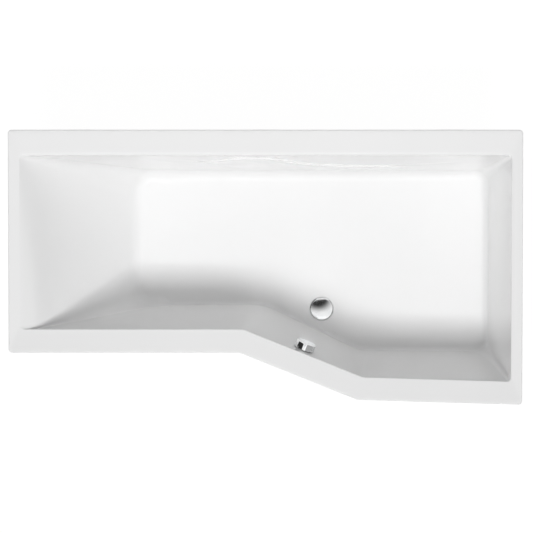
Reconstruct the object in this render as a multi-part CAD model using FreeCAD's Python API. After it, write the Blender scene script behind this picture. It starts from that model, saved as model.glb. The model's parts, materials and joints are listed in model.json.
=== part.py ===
import FreeCAD, Part
import math
import os
from FreeCAD import Vector

# Asymmetric acrylic bathtub with its backing, cradle, waste trap and overflow, one file per piece.
# Millimetres, +Z up. X runs from the head end (-X) to the foot end (+X), +Y is the wall side.
# The origin is on the room's floor, under the middle of the rim.

# Overall sizes
LENGTH = 1600.0
WIDTH = 856.0
WIDENING = 162.0
RIM_HEIGHT = 600.0
INNER_DEPTH = 430.0
NARROW_LENGTH = 720.0
SLANT_LENGTH = 366.0
FOOT_TAPER = 15.0

# Rim and skin
RIM_FRONT = 72.0
RIM_BACK = 74.0
RIM_END = 35.0
LIP_HEIGHT = 40.0
ACRYLIC = 5.0
GLUE = 0.3
LAMINATE = 4.0
RIM_EDGE_ROUND = 4.5
WELL_EDGE_ROUND = 6.0

# How far each wall comes in between the rim and the floor
INSET_NARROW = 52.0
INSET_SLANT = 58.0
INSET_WIDE = 50.0
INSET_FOOT = 46.0
INSET_BACK = 62.0
INSET_HEAD = 345.0

# Corner radii of the outline, of the well at the rim and of the well at the floor
OUTER_CORNER = 12.0
OUTER_BEND = 40.0
WELL_CORNER = 12.0
WELL_BEND = 40.0
FLOOR_HEAD_CORNER = 90.0
FLOOR_FOOT_CORNER = 26.0
FLOOR_BEND = 70.0
FLOOR_FILLET = 16.0

# Board, battens and cradle
BOARD = 16.0
BOARD_MARGIN = 40.0
BOARD_CORNER = 40.0
BOARD_BITE_RADIUS = 66.0
BATTEN_WIDTH = 40.0
BATTEN_HEIGHT = 20.0
BATTEN_SETBACK = 12.0
BATTEN_TRIM = 45.0
BAR_WIDTH = 40.0
BAR_HEIGHT = 26.0
BAR_SHEET = 2.5
BAR_OVERHANG = 24.0
HEAD_BAR_SETBACK = 130.0
FOOT_BAR_SETBACK = 150.0
FOOT_EDGE_SETBACK = 56.0
ROD_RADIUS = 6.0
ROD_ABOVE_BAR = 66.0
ROD_CHAMFER = 1.0
PAD_RADIUS = 28.0
PAD_HEIGHT = 9.0
PAD_BOSS_RADIUS = 13.0
PAD_BOSS_HEIGHT = 16.0
PAD_SOLE = 5.0
PAD_ROUND = 2.0
NUT_RADIUS = 11.0
NUT_HEIGHT = 10.0
NUT_SIDES = 6
SCREW_RADIUS = 2.5
SCREW_LENGTH = 14.0
SCREW_HEAD_RADIUS = 5.0
SCREW_HEAD_HEIGHT = 3.0
SCREW_PLAY = 0.3
PILOT_PLAY = 0.05
BAR_SCREW_SHARES = [0.12, 0.38, 0.62, 0.88]

# Wall brackets
BRACKET_SHEET = 2.5
BRACKET_WIDTH = 80.0
BRACKET_DROP = 62.0
BRACKET_GAP = 4.0
BRACKET_HOLE_RADIUS = 3.5
BRACKET_HOLE_SPACING = 50.0
BRACKET_HOLE_RISE = 24.0
BRACKET_SHARES = [0.14, 0.5, 0.86]

# Fits
RUN_FIT = 0.1
SOFT_GAP = 0.3
OVERRUN = 10.0
TOUCH = 0.001
FULL_TURN = 360.0

# Drain
DRAIN_SHARE = 0.545
DRAIN_FROM_FOOT_OF_WALL = 71.0
RECESS_RADIUS = 40.0
RECESS_DEPTH = 3.0
DRAIN_HOLE_RADIUS = 27.0
BACKING_HOLE_RADIUS = 50.0
FLANGE_RADIUS = 37.0
FLANGE_LIP = 2.6
THROAT_RADIUS = 24.0
THROAT_WALL = 3.0
THROAT_LENGTH = 34.0
HUB_RADIUS = 9.0
HUB_HEIGHT = 10.0
HUB_DROP = 10.0
SPOKE_WIDTH = 3.0
SPOKES = 3
GASKET_UPPER = 1.4
GASKET_LOWER = 3.0
GASKET_RADIUS = 38.0
PLUG_RADIUS = 34.0
PLUG_EDGE = 3.0
PLUG_CROWN = 1.7
PLUG_SHEET = 1.6
PLUG_REST_GAP = 1.0
PLUG_BOSS_RADIUS = 13.0
SEAL_HEIGHT = 5.0
SEAL_RADIUS = 19.5
STEM_RADIUS = 4.0
STEM_NOSE_RADIUS = 2.2
STEM_NOSE = 6.0
CUP_FLANGE = 4.0
CUP_FLANGE_RADIUS = 42.0
CUP_RADIUS = 33.0
CUP_WALL = 3.0
CUP_HEIGHT = 54.0
PIPE_RADIUS = 20.0
PIPE_WALL = 2.5
CUP_TAIL = 20.0
LEVER_REACH = 14.0
LEVER_TAIL = 11.0
LEVER_TAIL_RADIUS = 4.0
LEVER_RISE = 13.0
PLUG_LIFT = 12.0
LEVER_WIDTH = 7.0
LEVER_THICKNESS = 4.0
LEVER_TIP_RADIUS = 3.0
LEVER_EYE_RADIUS = 4.5
LEVER_PIN_RADIUS = 2.0
LUG_WIDTH = 3.0
LUG_HEIGHT = 10.0
LUG_NOSE = 5.0

# Trap and outlet
TRAP_BEND = 32.0
TRAP_INLET = 20.0
TRAP_RISE = 26.0
TRAP_BRANCH_DROP = 31.0
TRAP_BRANCH_LENGTH = 56.0
UNION_COLLAR_RADIUS = 23.5
UNION_COLLAR = 4.0
UNION_SEAL = 2.0
UNION_NUT_RADIUS = 28.0
UNION_NUT_GRIP = 13.0
UNION_NUT_END = 5.0
CAP_RADIUS = 26.0
CAP_SKIRT = 9.0
CAP_ROOF = 4.0
CAP_SEAL = 2.0
GRIP_RIB_RADIUS = 1.6
GRIP_RIBS = 12
OUTLET_RADIUS = 25.0
OUTLET_NARROW = 26.0
OUTLET_CONE = 12.0
OUTLET_SPIGOT_LENGTH = 90.0

# Overflow
OVERFLOW_SHARE = 0.497
OVERFLOW_DROP = 70.0
OVERFLOW_HOLE_RADIUS = 27.0
OVERFLOW_PLATE_RADIUS = 29.0
OVERFLOW_PLATE = 2.6
OVERFLOW_THROAT = 26.0
OVERFLOW_GASKET = 3.0
OVERFLOW_GASKET_RADIUS = 37.0
OVERFLOW_CUP_RADIUS = 31.0
OVERFLOW_CUP_DEPTH = 36.0
OVERFLOW_FLANGE = 4.0
OVERFLOW_FLANGE_RADIUS = 38.0
OVERFLOW_AXIS_BACK = 38.0
KNOB_RADIUS = 33.5
KNOB_FRONT = 23.0
KNOB_BACK = 2.0
KNOB_SHEET = 2.2
KNOB_ROUND = 2.6
KNOB_HUB_RADIUS = 10.0
KNOB_HUB_LENGTH = 9.0
SPINDLE_RADIUS = 5.0
SPINDLE_BACK = 44.0
DRUM_RADIUS = 15.0
DRUM_WIDTH = 8.0
GRUB_RADIUS = 2.0

# Overflow hose and pull cable
HOSE_BORE = 13.0
HOSE_ROOT = 14.5
HOSE_CREST = 17.0
HOSE_PITCH = 7.0
HOSE_RIB_SHARES = [0.0, 0.25, 0.5, 0.75]
HOSE_BEND = 75.0
HOSE_GRIP = 15.0
HOSE_START = 46.0
SPIGOT_WALL = 2.2
HOSE_NUT_RADIUS = 22.5
HOSE_NUT_LENGTH = 22.0
HOSE_NUT_COLLAR = 5.0
OVERFLOW_NECK = 32.0
OVERFLOW_NECK_RADIUS = 15.0
HOSE_PORT_RISE = 16.0
CABLE_RADIUS = 3.0
CABLE_SIDE = 35.0
CABLE_BEND = 80.0
NIPPLE_RADIUS = 6.0
NIPPLE_GRIP = 14.0
NIPPLE_LENGTH = 30.0
CABLE_START = 46.0


# Plan of the tub

FLOOR_Z = RIM_HEIGHT - INNER_DEPTH
BACK_Y = WIDTH / 2
FRONT_Y = WIDENING - BACK_Y
BEND_1 = Vector(NARROW_LENGTH - LENGTH / 2, FRONT_Y, 0)
BEND_2 = Vector(BEND_1.x + SLANT_LENGTH, FOOT_TAPER - BACK_Y, 0)

# Each side runs from its own corner of the outline to the next one
SIDES = ["narrow", "slant", "wide", "foot", "back", "head"]
OUTLINE = [
    Vector(-LENGTH / 2, FRONT_Y, 0),
    BEND_1,
    BEND_2,
    Vector(LENGTH / 2, -BACK_Y, 0),
    Vector(LENGTH / 2, BACK_Y, 0),
    Vector(-LENGTH / 2, BACK_Y, 0),
]
SIDE_COUNT = len(OUTLINE)
RIM_WIDTHS = [RIM_FRONT, RIM_FRONT, RIM_FRONT, RIM_END, RIM_BACK, RIM_END]
WALL_INSETS = [INSET_NARROW, INSET_SLANT, INSET_WIDE, INSET_FOOT, INSET_BACK, INSET_HEAD]
OUTER_RADII = [OUTER_CORNER, OUTER_BEND, OUTER_BEND, OUTER_CORNER, OUTER_CORNER, OUTER_CORNER]
WELL_RADII = [WELL_CORNER, WELL_BEND, WELL_BEND, WELL_CORNER, WELL_CORNER, WELL_CORNER]
FLOOR_RADII = [
    FLOOR_HEAD_CORNER,
    FLOOR_BEND,
    FLOOR_BEND,
    FLOOR_FOOT_CORNER,
    FLOOR_FOOT_CORNER,
    FLOOR_HEAD_CORNER,
]
# The first bend turns the other way, so its radius shrinks where the others grow
CORNER_SIGNS = [1, -1, 1, 1, 1, 1]


def offset_corners(points, distances):
    """Corners of a polygon whose sides are each moved inward by their own distance."""
    lines = []
    for i, start in enumerate(points):
        along = (points[(i + 1) % len(points)] - start).normalize()
        inward = Vector(-along.y, along.x, 0)
        lines.append((start + inward * distances[i], along))
    corners = []
    for i in range(len(points)):
        p, u = lines[i - 1]
        q, v = lines[i]
        gap = q - p
        step = (gap.x * v.y - gap.y * v.x) / (u.x * v.y - u.y * v.x)
        corners.append(p + u * step)
    return corners


def rounded_wire(corners, radii, z):
    """Closed wire at height z through a polygon with rounded corners."""
    lift = Vector(0, 0, z)
    arcs = []
    for i, corner in enumerate(corners):
        before = (corners[i - 1] - corner).normalize()
        after = (corners[(i + 1) % len(corners)] - corner).normalize()
        half = before.getAngle(after) / 2
        reach = radii[i] / math.tan(half)
        middle = (before + after).normalize()
        crown = corner + middle * (radii[i] / math.sin(half) - radii[i])
        arcs.append((corner + before * reach + lift, crown + lift, corner + after * reach + lift))
    edges = []
    for i, (start, crown, end) in enumerate(arcs):
        edges.append(Part.Arc(start, crown, end).toShape())
        edges.append(Part.LineSegment(end, arcs[(i + 1) % len(arcs)][0]).toShape())
    return Part.Wire(edges)


def outline_wire(inset, z):
    """The outline moved inward by one distance all round."""
    distances = [inset] * SIDE_COUNT
    radii = [radius - inset * sign for radius, sign in zip(OUTER_RADII, CORNER_SIGNS)]
    return rounded_wire(offset_corners(OUTLINE, distances), radii, z)


def well_distances(depth_share, skin):
    """Distance of each wall of the well from the outline, at a share of the depth."""
    distances = []
    for width, inset in zip(RIM_WIDTHS, WALL_INSETS):
        lean = math.hypot(inset, INNER_DEPTH) / INNER_DEPTH
        distances.append(width + inset * depth_share - skin * lean)
    return distances


def well_wire(z, skin):
    """Section of the well at height z, grown outward by the skin's thickness."""
    depth_share = (RIM_HEIGHT - z) / INNER_DEPTH
    radii = []
    for top, bottom, sign in zip(WELL_RADII, FLOOR_RADII, CORNER_SIGNS):
        radii.append(top + (bottom - top) * depth_share + skin * sign)
    return rounded_wire(offset_corners(OUTLINE, well_distances(depth_share, skin)), radii, z)


def well_plug(skin, top):
    """Solid that fills the well from its floor to the given height."""
    bottom = FLOOR_Z - skin
    solid = Part.makeLoft([well_wire(top, skin), well_wire(bottom, skin)], True, True)
    loop = [edge for edge in solid.Edges if edge.BoundBox.ZMax < bottom + TOUCH]
    return solid.makeFillet(FLOOR_FILLET + skin, loop)


def upright(wire, height):
    """Straight prism on a flat wire."""
    return Part.Face(wire).extrude(Vector(0, 0, height))


def cylinder(radius, low, high, spot=Vector(0, 0, 0)):
    """Upright cylinder between two heights."""
    return Part.makeCylinder(radius, high - low, spot + Vector(0, 0, low))


def ring(inner, outer, low, high):
    """Upright ring between two heights."""
    return cylinder(outer, low, high).cut(cylinder(inner, low, high))


def turned(points):
    """Solid turned about the Z axis from (radius, height) points."""
    corners = [Vector(radius, 0, height) for radius, height in points]
    face = Part.Face(Part.makePolygon(corners + corners[:1]))
    return face.revolve(Vector(0, 0, 0), Vector(0, 0, 1), FULL_TURN)


def level(vector):
    """The vector's part in the floor plane, one unit long."""
    return Vector(vector.x, vector.y, 0).normalize()


def frame_at(origin, x_axis, z_axis):
    """Placement with its Z axis and X axis along the given unit vectors."""
    y_axis = z_axis.cross(x_axis)
    matrix = FreeCAD.Matrix(
        x_axis.x, y_axis.x, z_axis.x, origin.x,
        x_axis.y, y_axis.y, z_axis.y, origin.y,
        x_axis.z, y_axis.z, z_axis.z, origin.z,
        0, 0, 0, 1,
    )
    return FreeCAD.Placement(matrix)


def placed(shape, placement):
    """Copy of a shape in another frame."""
    copy = shape.copy()
    copy.Placement = placement.multiply(copy.Placement)
    return copy


def moved(shape, spot):
    """Copy of a shape shifted by a vector."""
    return shape.translated(spot)


def top_edges(solid, height):
    """Edges of a solid that lie at one height."""
    found = []
    for edge in solid.Edges:
        box = edge.BoundBox
        if abs(box.ZMax - height) < TOUCH and abs(box.ZMin - height) < TOUCH:
            found.append(edge)
    return found


# Places taken from the plan

WELL_TOP = offset_corners(OUTLINE, well_distances(0, 0))
WELL_FLOOR = offset_corners(OUTLINE, well_distances(1, 0))
SLANT_START = WELL_TOP[SIDES.index("slant")]
SLANT_RUN = WELL_TOP[SIDES.index("wide")] - SLANT_START
SLANT_ALONG = level(SLANT_RUN)
SLANT_INWARD = Vector(-SLANT_ALONG.y, SLANT_ALONG.x, 0)
SLANT_NORMAL = (SLANT_INWARD * INNER_DEPTH + Vector(0, 0, INSET_SLANT)).normalize()

DRAIN = (
    SLANT_START
    + SLANT_RUN * DRAIN_SHARE
    + SLANT_INWARD * (INSET_SLANT + DRAIN_FROM_FOOT_OF_WALL)
)
OVERFLOW = (
    SLANT_START
    + SLANT_RUN * OVERFLOW_SHARE
    + SLANT_INWARD * (INSET_SLANT * OVERFLOW_DROP / INNER_DEPTH)
    + Vector(0, 0, RIM_HEIGHT - OVERFLOW_DROP)
)
OVERFLOW_FRAME = frame_at(OVERFLOW, SLANT_ALONG, SLANT_NORMAL)
OVERFLOW_MIDDLE = OVERFLOW - SLANT_NORMAL * OVERFLOW_AXIS_BACK

# The hose and the cable run in upright planes along this direction, from the drain to the overflow
WASTE_OUT = level(OVERFLOW_MIDDLE - DRAIN)
WASTE_SIDE = Vector(-WASTE_OUT.y, WASTE_OUT.x, 0)
WASTE_REACH = (OVERFLOW_MIDDLE - DRAIN).dot(WASTE_OUT)
TRAP_OUT = Vector(0, 1, 0)

SKIN = ACRYLIC + GLUE + LAMINATE
BOARD_TOP = FLOOR_Z - SKIN - GLUE
BAR_TOP = BOARD_TOP - BOARD
SEAT_Z = FLOOR_Z - RECESS_DEPTH
UNDER_SEAT_Z = SEAT_Z - ACRYLIC
BATTEN_TOP = RIM_HEIGHT - ACRYLIC
BATTEN_BOTTOM = BATTEN_TOP - BATTEN_HEIGHT


def drain_hole(radius, low, high):
    """Upright cylinder on the drain's axis."""
    return cylinder(radius, low, high, DRAIN)


def overflow_hole(radius):
    """Cylinder on the overflow's axis, through the whole skin."""
    tool = cylinder(radius, -SKIN - OVERRUN, OVERRUN)
    return placed(tool, OVERFLOW_FRAME)


# The tub's skin

def acrylic_shell():
    """Rim with its downturned edge and the well, in one moulding of even thickness."""
    slab = upright(outline_wire(0, RIM_HEIGHT - LIP_HEIGHT), LIP_HEIGHT)
    slab = slab.makeFillet(RIM_EDGE_ROUND, top_edges(slab, RIM_HEIGHT))
    under_low = RIM_HEIGHT - LIP_HEIGHT - OVERRUN
    under = upright(outline_wire(ACRYLIC, under_low), RIM_HEIGHT - ACRYLIC - under_low)
    shell = slab.cut(under).fuse(well_plug(ACRYLIC, RIM_HEIGHT - ACRYLIC / 2))
    shell = shell.fuse(drain_hole(RECESS_RADIUS + ACRYLIC, UNDER_SEAT_Z, SEAT_Z))
    shell = shell.cut(well_plug(0, RIM_HEIGHT + OVERRUN))
    inner = [edge for edge in top_edges(shell, RIM_HEIGHT) if well_edge(edge)]
    shell = shell.makeFillet(WELL_EDGE_ROUND, inner)
    shell = shell.cut(drain_hole(RECESS_RADIUS, SEAT_Z, FLOOR_Z + OVERRUN))
    shell = shell.cut(drain_hole(DRAIN_HOLE_RADIUS, UNDER_SEAT_Z - OVERRUN, FLOOR_Z))
    return shell.cut(overflow_hole(OVERFLOW_HOLE_RADIUS))


def well_edge(edge):
    """True for an edge on the well's side of the rim."""
    wire = well_wire(RIM_HEIGHT, 0)
    middle = edge.valueAt((edge.FirstParameter + edge.LastParameter) / 2)
    return Part.Vertex(middle).distToShape(wire)[0] < ACRYLIC


def glassfibre_backing():
    """Laminate that stiffens the well from outside."""
    top = RIM_HEIGHT - ACRYLIC - GLUE
    backing = well_plug(SKIN, top).cut(well_plug(ACRYLIC + GLUE, top + OVERRUN))
    backing = backing.cut(drain_hole(BACKING_HOLE_RADIUS, UNDER_SEAT_Z - OVERRUN, FLOOR_Z))
    return backing.cut(overflow_hole(OVERFLOW_HOLE_RADIUS))


# Board, battens, cradle and brackets

def base_board():
    """Board under the floor that takes the cradle's screws, cut away round the drain."""
    distances = [distance + BOARD_MARGIN for distance in well_distances(1, 0)]
    wire = rounded_wire(offset_corners(OUTLINE, distances), [BOARD_CORNER] * SIDE_COUNT, BAR_TOP)
    board = upright(wire, BOARD)
    board = board.cut(drain_hole(BOARD_BITE_RADIUS, BAR_TOP - OVERRUN, BOARD_TOP + OVERRUN))
    for spot in bar_screw_spots():
        pilot = cylinder(SCREW_RADIUS + PILOT_PLAY, BAR_TOP - OVERRUN, BAR_TOP + SCREW_LENGTH, spot)
        board = board.cut(pilot)
    return board


def rim_batten(side):
    """Straight batten under one side of the rim."""
    start = OUTLINE[SIDES.index(side)]
    end = OUTLINE[(SIDES.index(side) + 1) % SIDE_COUNT]
    along = (end - start).normalize()
    inward = Vector(-along.y, along.x, 0)
    first = start + along * BATTEN_TRIM + inward * BATTEN_SETBACK
    last = end - along * BATTEN_TRIM + inward * BATTEN_SETBACK
    across = inward * BATTEN_WIDTH
    lift = Vector(0, 0, BATTEN_BOTTOM)
    corners = [first + lift, last + lift, last + across + lift, first + across + lift, first + lift]
    batten = upright(Part.makePolygon(corners), BATTEN_HEIGHT)
    if side == "back":
        for spot in bracket_screw_spots():
            pilot = cylinder(SCREW_RADIUS + PILOT_PLAY, -OVERRUN, SCREW_LENGTH, spot)
            batten = batten.cut(pilot)
    return batten


def front_y(x):
    """The outline's front edge at a station along the tub."""
    if x < BEND_1.x:
        return FRONT_Y
    start = BEND_1
    end = BEND_2
    if x > BEND_2.x:
        start = BEND_2
        end = OUTLINE[SIDES.index("foot")]
    return start.y + (end.y - start.y) * (x - start.x) / (end.x - start.x)


HEAD_BAR_X = WELL_FLOOR[SIDES.index("head")].x + HEAD_BAR_SETBACK
FOOT_BAR_X = WELL_FLOOR[SIDES.index("foot")].x - FOOT_BAR_SETBACK
BAR_XS = [HEAD_BAR_X, FOOT_BAR_X]
FRONT_INSETS = [INSET_NARROW, INSET_WIDE]


def foot_spots(x):
    """Places of the front foot and the back foot on one bar."""
    front = Vector(x, front_y(x) + FOOT_EDGE_SETBACK, 0)
    back = Vector(x, BACK_Y - FOOT_EDGE_SETBACK, 0)
    return [front, back]


def bar_screw_spots():
    """Places of the screws that hold the two bars to the board."""
    spots = []
    for x, inset in zip(BAR_XS, FRONT_INSETS):
        low = front_y(x) + RIM_FRONT + inset + BOARD_MARGIN
        high = BACK_Y - RIM_BACK - INSET_BACK - BOARD_MARGIN
        for share in BAR_SCREW_SHARES:
            spots.append(Vector(x, low + (high - low) * share, 0))
    return spots


def leg_bar(x):
    """Folded steel channel, open downward, with holes for its rods and screws."""
    front, back = foot_spots(x)
    length = back.y - front.y + BAR_OVERHANG * 2
    corner = Vector(x - BAR_WIDTH / 2, front.y - BAR_OVERHANG, BAR_TOP - BAR_HEIGHT)
    bar = Part.makeBox(BAR_WIDTH, length, BAR_HEIGHT, corner)
    outer = [edge for edge in bar.Edges if abs(edge.Vertexes[0].Z - edge.Vertexes[-1].Z) < TOUCH]
    long = [edge for edge in outer if edge.BoundBox.YLength > BAR_WIDTH]
    folds = [edge for edge in long if edge.BoundBox.ZMin > BAR_TOP - TOUCH]
    bar = bar.makeFillet(BAR_SHEET, folds)
    hollow = Part.makeBox(
        BAR_WIDTH - BAR_SHEET * 2,
        length + OVERRUN * 2,
        BAR_HEIGHT - BAR_SHEET + OVERRUN,
        corner + Vector(BAR_SHEET, -OVERRUN, -OVERRUN),
    )
    bar = bar.cut(hollow)
    for spot in (front, back):
        bar = bar.cut(cylinder(ROD_RADIUS + SOFT_GAP, 0, RIM_HEIGHT, spot))
    for spot in bar_screw_spots():
        bar = bar.cut(cylinder(SCREW_RADIUS + SCREW_PLAY, 0, RIM_HEIGHT, spot))
    return bar


def foot_rod(spot):
    """Threaded rod of one foot."""
    top = BAR_TOP + ROD_ABOVE_BAR
    rod = cylinder(ROD_RADIUS, PAD_SOLE, top, spot)
    return rod.makeChamfer(ROD_CHAMFER, top_edges(rod, top))


def foot_pad(spot):
    """Moulded pad pressed on the rod's lower end."""
    pad = turned([
        (0, 0),
        (PAD_RADIUS, 0),
        (PAD_RADIUS, PAD_HEIGHT - PAD_ROUND),
        (PAD_RADIUS - PAD_ROUND, PAD_HEIGHT),
        (PAD_BOSS_RADIUS, PAD_HEIGHT + PAD_ROUND),
        (PAD_BOSS_RADIUS - PAD_ROUND / 2, PAD_HEIGHT + PAD_BOSS_HEIGHT),
        (0, PAD_HEIGHT + PAD_BOSS_HEIGHT),
    ])
    bore = cylinder(ROD_RADIUS + PILOT_PLAY, PAD_SOLE, PAD_HEIGHT + PAD_BOSS_HEIGHT + OVERRUN)
    return moved(pad.cut(bore), spot)


def hex_nut(spot, low):
    """Hexagon nut with a running fit on its rod."""
    corners = []
    for step in range(NUT_SIDES):
        angle = math.radians(FULL_TURN * step / NUT_SIDES)
        corners.append(spot + Vector(NUT_RADIUS * math.cos(angle), NUT_RADIUS * math.sin(angle), low))
    nut = upright(Part.makePolygon(corners + corners[:1]), NUT_HEIGHT)
    return nut.cut(cylinder(ROD_RADIUS + RUN_FIT, low - OVERRUN, low + NUT_HEIGHT + OVERRUN, spot))


def foot_nuts():
    """A nut above and a nut below the bar on every rod."""
    nuts = []
    for x in BAR_XS:
        for spot in foot_spots(x):
            nuts.append(hex_nut(spot, BAR_TOP))
            nuts.append(hex_nut(spot, BAR_TOP - BAR_SHEET - NUT_HEIGHT))
    return Part.makeCompound(nuts)


def wood_screw(spot, seat):
    """Screw driven upward, its head under the seat and its shank above it."""
    head = cylinder(SCREW_HEAD_RADIUS, -SCREW_HEAD_HEIGHT, 0)
    head = head.makeChamfer(ROD_CHAMFER, top_edges(head, -SCREW_HEAD_HEIGHT))
    shank = cylinder(SCREW_RADIUS, -ROD_CHAMFER, SCREW_LENGTH - ROD_CHAMFER)
    return moved(head.fuse(shank).removeSplitter(), spot + Vector(0, 0, seat))


def bar_screws():
    """Screws through the two bars into the board."""
    return Part.makeCompound([wood_screw(spot, BAR_TOP - BAR_SHEET) for spot in bar_screw_spots()])


def bracket_xs():
    """Stations of the wall brackets along the tub."""
    return [LENGTH * share - LENGTH / 2 for share in BRACKET_SHARES]


def bracket_screw_spots():
    """Places on the back batten's underside where the brackets are screwed on."""
    y = BACK_Y - BATTEN_SETBACK - BATTEN_WIDTH / 2
    spots = []
    for x in bracket_xs():
        for side in (-1, 1):
            spots.append(Vector(x + side * BRACKET_HOLE_SPACING / 2, y, BATTEN_BOTTOM))
    return spots


def wall_bracket(x):
    """Folded strip from the back batten, under the rim's edge and down the wall."""
    near = BACK_Y - BATTEN_SETBACK - BATTEN_WIDTH
    fold = BACK_Y - ACRYLIC - BRACKET_GAP
    jog = RIM_HEIGHT - LIP_HEIGHT - BRACKET_GAP
    low = jog - BRACKET_DROP
    sheet = BRACKET_SHEET
    profile = [
        (near, BATTEN_BOTTOM),
        (fold, BATTEN_BOTTOM),
        (fold, jog),
        (BACK_Y, jog),
        (BACK_Y, low),
        (BACK_Y - sheet, low),
        (BACK_Y - sheet, jog - sheet),
        (fold - sheet, jog - sheet),
        (fold - sheet, BATTEN_BOTTOM - sheet),
        (near, BATTEN_BOTTOM - sheet),
    ]
    corners = [Vector(x - BRACKET_WIDTH / 2, y, z) for y, z in profile]
    bracket = Part.Face(Part.makePolygon(corners + corners[:1])).extrude(Vector(BRACKET_WIDTH, 0, 0))
    for side in (-1, 1):
        spot = Vector(x + side * BRACKET_HOLE_SPACING / 2, BACK_Y - OVERRUN, low + BRACKET_HOLE_RISE)
        bracket = bracket.cut(Part.makeCylinder(BRACKET_HOLE_RADIUS, OVERRUN * 2, spot, Vector(0, 1, 0)))
    for spot in bracket_screw_spots():
        bracket = bracket.cut(cylinder(SCREW_RADIUS + SCREW_PLAY, -OVERRUN, OVERRUN, spot))
    return bracket


def bracket_screws():
    """Screws through the brackets into the back batten."""
    return Part.makeCompound([wood_screw(spot, -BRACKET_SHEET) for spot in bracket_screw_spots()])


# Drain and plug, made on the Z axis and shifted to the drain's place

FLANGE_Z = SEAT_Z + GASKET_UPPER
FLANGE_TOP = FLANGE_Z + FLANGE_LIP
CUP_TOP = UNDER_SEAT_Z - GASKET_LOWER
CUP_BOTTOM = CUP_TOP - CUP_HEIGHT
THROAT_END = FLANGE_Z - THROAT_LENGTH
HUB_TOP = FLANGE_Z - HUB_DROP
PLUG_Z = FLANGE_TOP + PLUG_REST_GAP
LEVER_Z = CUP_BOTTOM + LEVER_RISE
LEVER_REST = math.asin(PLUG_LIFT / 2 / LEVER_REACH)
STEM_END = LEVER_Z - LEVER_REACH * math.sin(LEVER_REST) + LEVER_TIP_RADIUS + SOFT_GAP
TAIL_END = CUP_BOTTOM - CUP_TAIL
HOSE_PORT_Z = CUP_BOTTOM + HOSE_PORT_RISE
TRAP_RISE_TOP = CUP_BOTTOM + TRAP_RISE
TRAP_BRANCH_Z = TRAP_RISE_TOP - TRAP_BRANCH_DROP


def spokes(inner, outer, low, high):
    """Thin radial walls between a hub and a throat."""
    walls = []
    for step in range(SPOKES):
        wall = Part.makeBox(outer - inner, SPOKE_WIDTH, high - low, Vector(inner, -SPOKE_WIDTH / 2, low))
        walls.append(wall.rotate(Vector(0, 0, 0), Vector(0, 0, 1), FULL_TURN * step / SPOKES))
    return walls


def drain_flange():
    """Chromed ring in the floor, with its throat and the guide for the plug's stem."""
    bore = THROAT_RADIUS - THROAT_WALL
    flange = turned([
        (bore, THROAT_END),
        (THROAT_RADIUS, THROAT_END),
        (THROAT_RADIUS, FLANGE_Z),
        (FLANGE_RADIUS, FLANGE_Z),
        (FLANGE_RADIUS, FLANGE_TOP - FLANGE_LIP / 2),
        (FLANGE_RADIUS - FLANGE_LIP, FLANGE_TOP),
        (THROAT_RADIUS, FLANGE_TOP),
        (bore, FLANGE_TOP - THROAT_WALL),
    ])
    guide = cylinder(HUB_RADIUS, HUB_TOP - HUB_HEIGHT, HUB_TOP)
    guide = guide.fuse(spokes(STEM_RADIUS, bore + THROAT_WALL / 2, HUB_TOP - HUB_HEIGHT, HUB_TOP))
    guide = guide.cut(cylinder(STEM_RADIUS + RUN_FIT, HUB_TOP - HUB_HEIGHT - OVERRUN, HUB_TOP + OVERRUN))
    return moved(flange.fuse(guide).removeSplitter(), DRAIN)


def drain_plug():
    """Chromed domed plug with a boss for its stem."""
    edge = PLUG_Z + PLUG_EDGE
    ball = (PLUG_RADIUS ** 2 + PLUG_CROWN ** 2) / (PLUG_CROWN * 2)
    centre = edge + PLUG_CROWN - ball
    half = math.asin(PLUG_RADIUS / ball) / 2
    rim = Vector(PLUG_RADIUS, 0, edge)
    crown = Vector(0, 0, edge + PLUG_CROWN)
    middle = Vector(ball * math.sin(half), 0, centre + ball * math.cos(half))
    low = Vector(PLUG_RADIUS, 0, PLUG_Z)
    inner = Vector(PLUG_RADIUS - PLUG_SHEET, 0, PLUG_Z)
    roof = Vector(PLUG_RADIUS - PLUG_SHEET, 0, PLUG_Z + PLUG_SHEET)
    axis = Vector(0, 0, PLUG_Z + PLUG_SHEET)
    edges = [
        Part.Arc(crown, middle, rim).toShape(),
        Part.LineSegment(rim, low).toShape(),
        Part.LineSegment(low, inner).toShape(),
        Part.LineSegment(inner, roof).toShape(),
        Part.LineSegment(roof, axis).toShape(),
        Part.LineSegment(axis, crown).toShape(),
    ]
    plug = Part.Face(Part.Wire(edges)).revolve(Vector(0, 0, 0), Vector(0, 0, 1), FULL_TURN)
    plug = plug.makeFillet(PLUG_EDGE / 2, top_edges(plug, edge))
    boss = cylinder(PLUG_BOSS_RADIUS, PLUG_Z - SEAL_HEIGHT, PLUG_Z + PLUG_SHEET * 2)
    plug = plug.fuse(boss).removeSplitter()
    socket = cylinder(STEM_RADIUS + PILOT_PLAY, PLUG_Z - OVERRUN, PLUG_Z + PLUG_SHEET)
    return moved(plug.cut(socket), DRAIN)


def plug_seal():
    """Rubber washer round the plug's boss, that closes the flange's throat."""
    low = PLUG_Z - SEAL_HEIGHT
    seal = turned([
        (PLUG_BOSS_RADIUS + PILOT_PLAY, low),
        (SEAL_RADIUS - RUN_FIT, low),
        (THROAT_RADIUS - THROAT_WALL - SOFT_GAP, low + SEAL_HEIGHT / 2),
        (THROAT_RADIUS - THROAT_WALL - SOFT_GAP, PLUG_Z),
        (SEAL_RADIUS, PLUG_Z + PLUG_SHEET),
        (PLUG_BOSS_RADIUS + PILOT_PLAY, PLUG_Z + PLUG_SHEET),
    ])
    return moved(seal, DRAIN)


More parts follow.
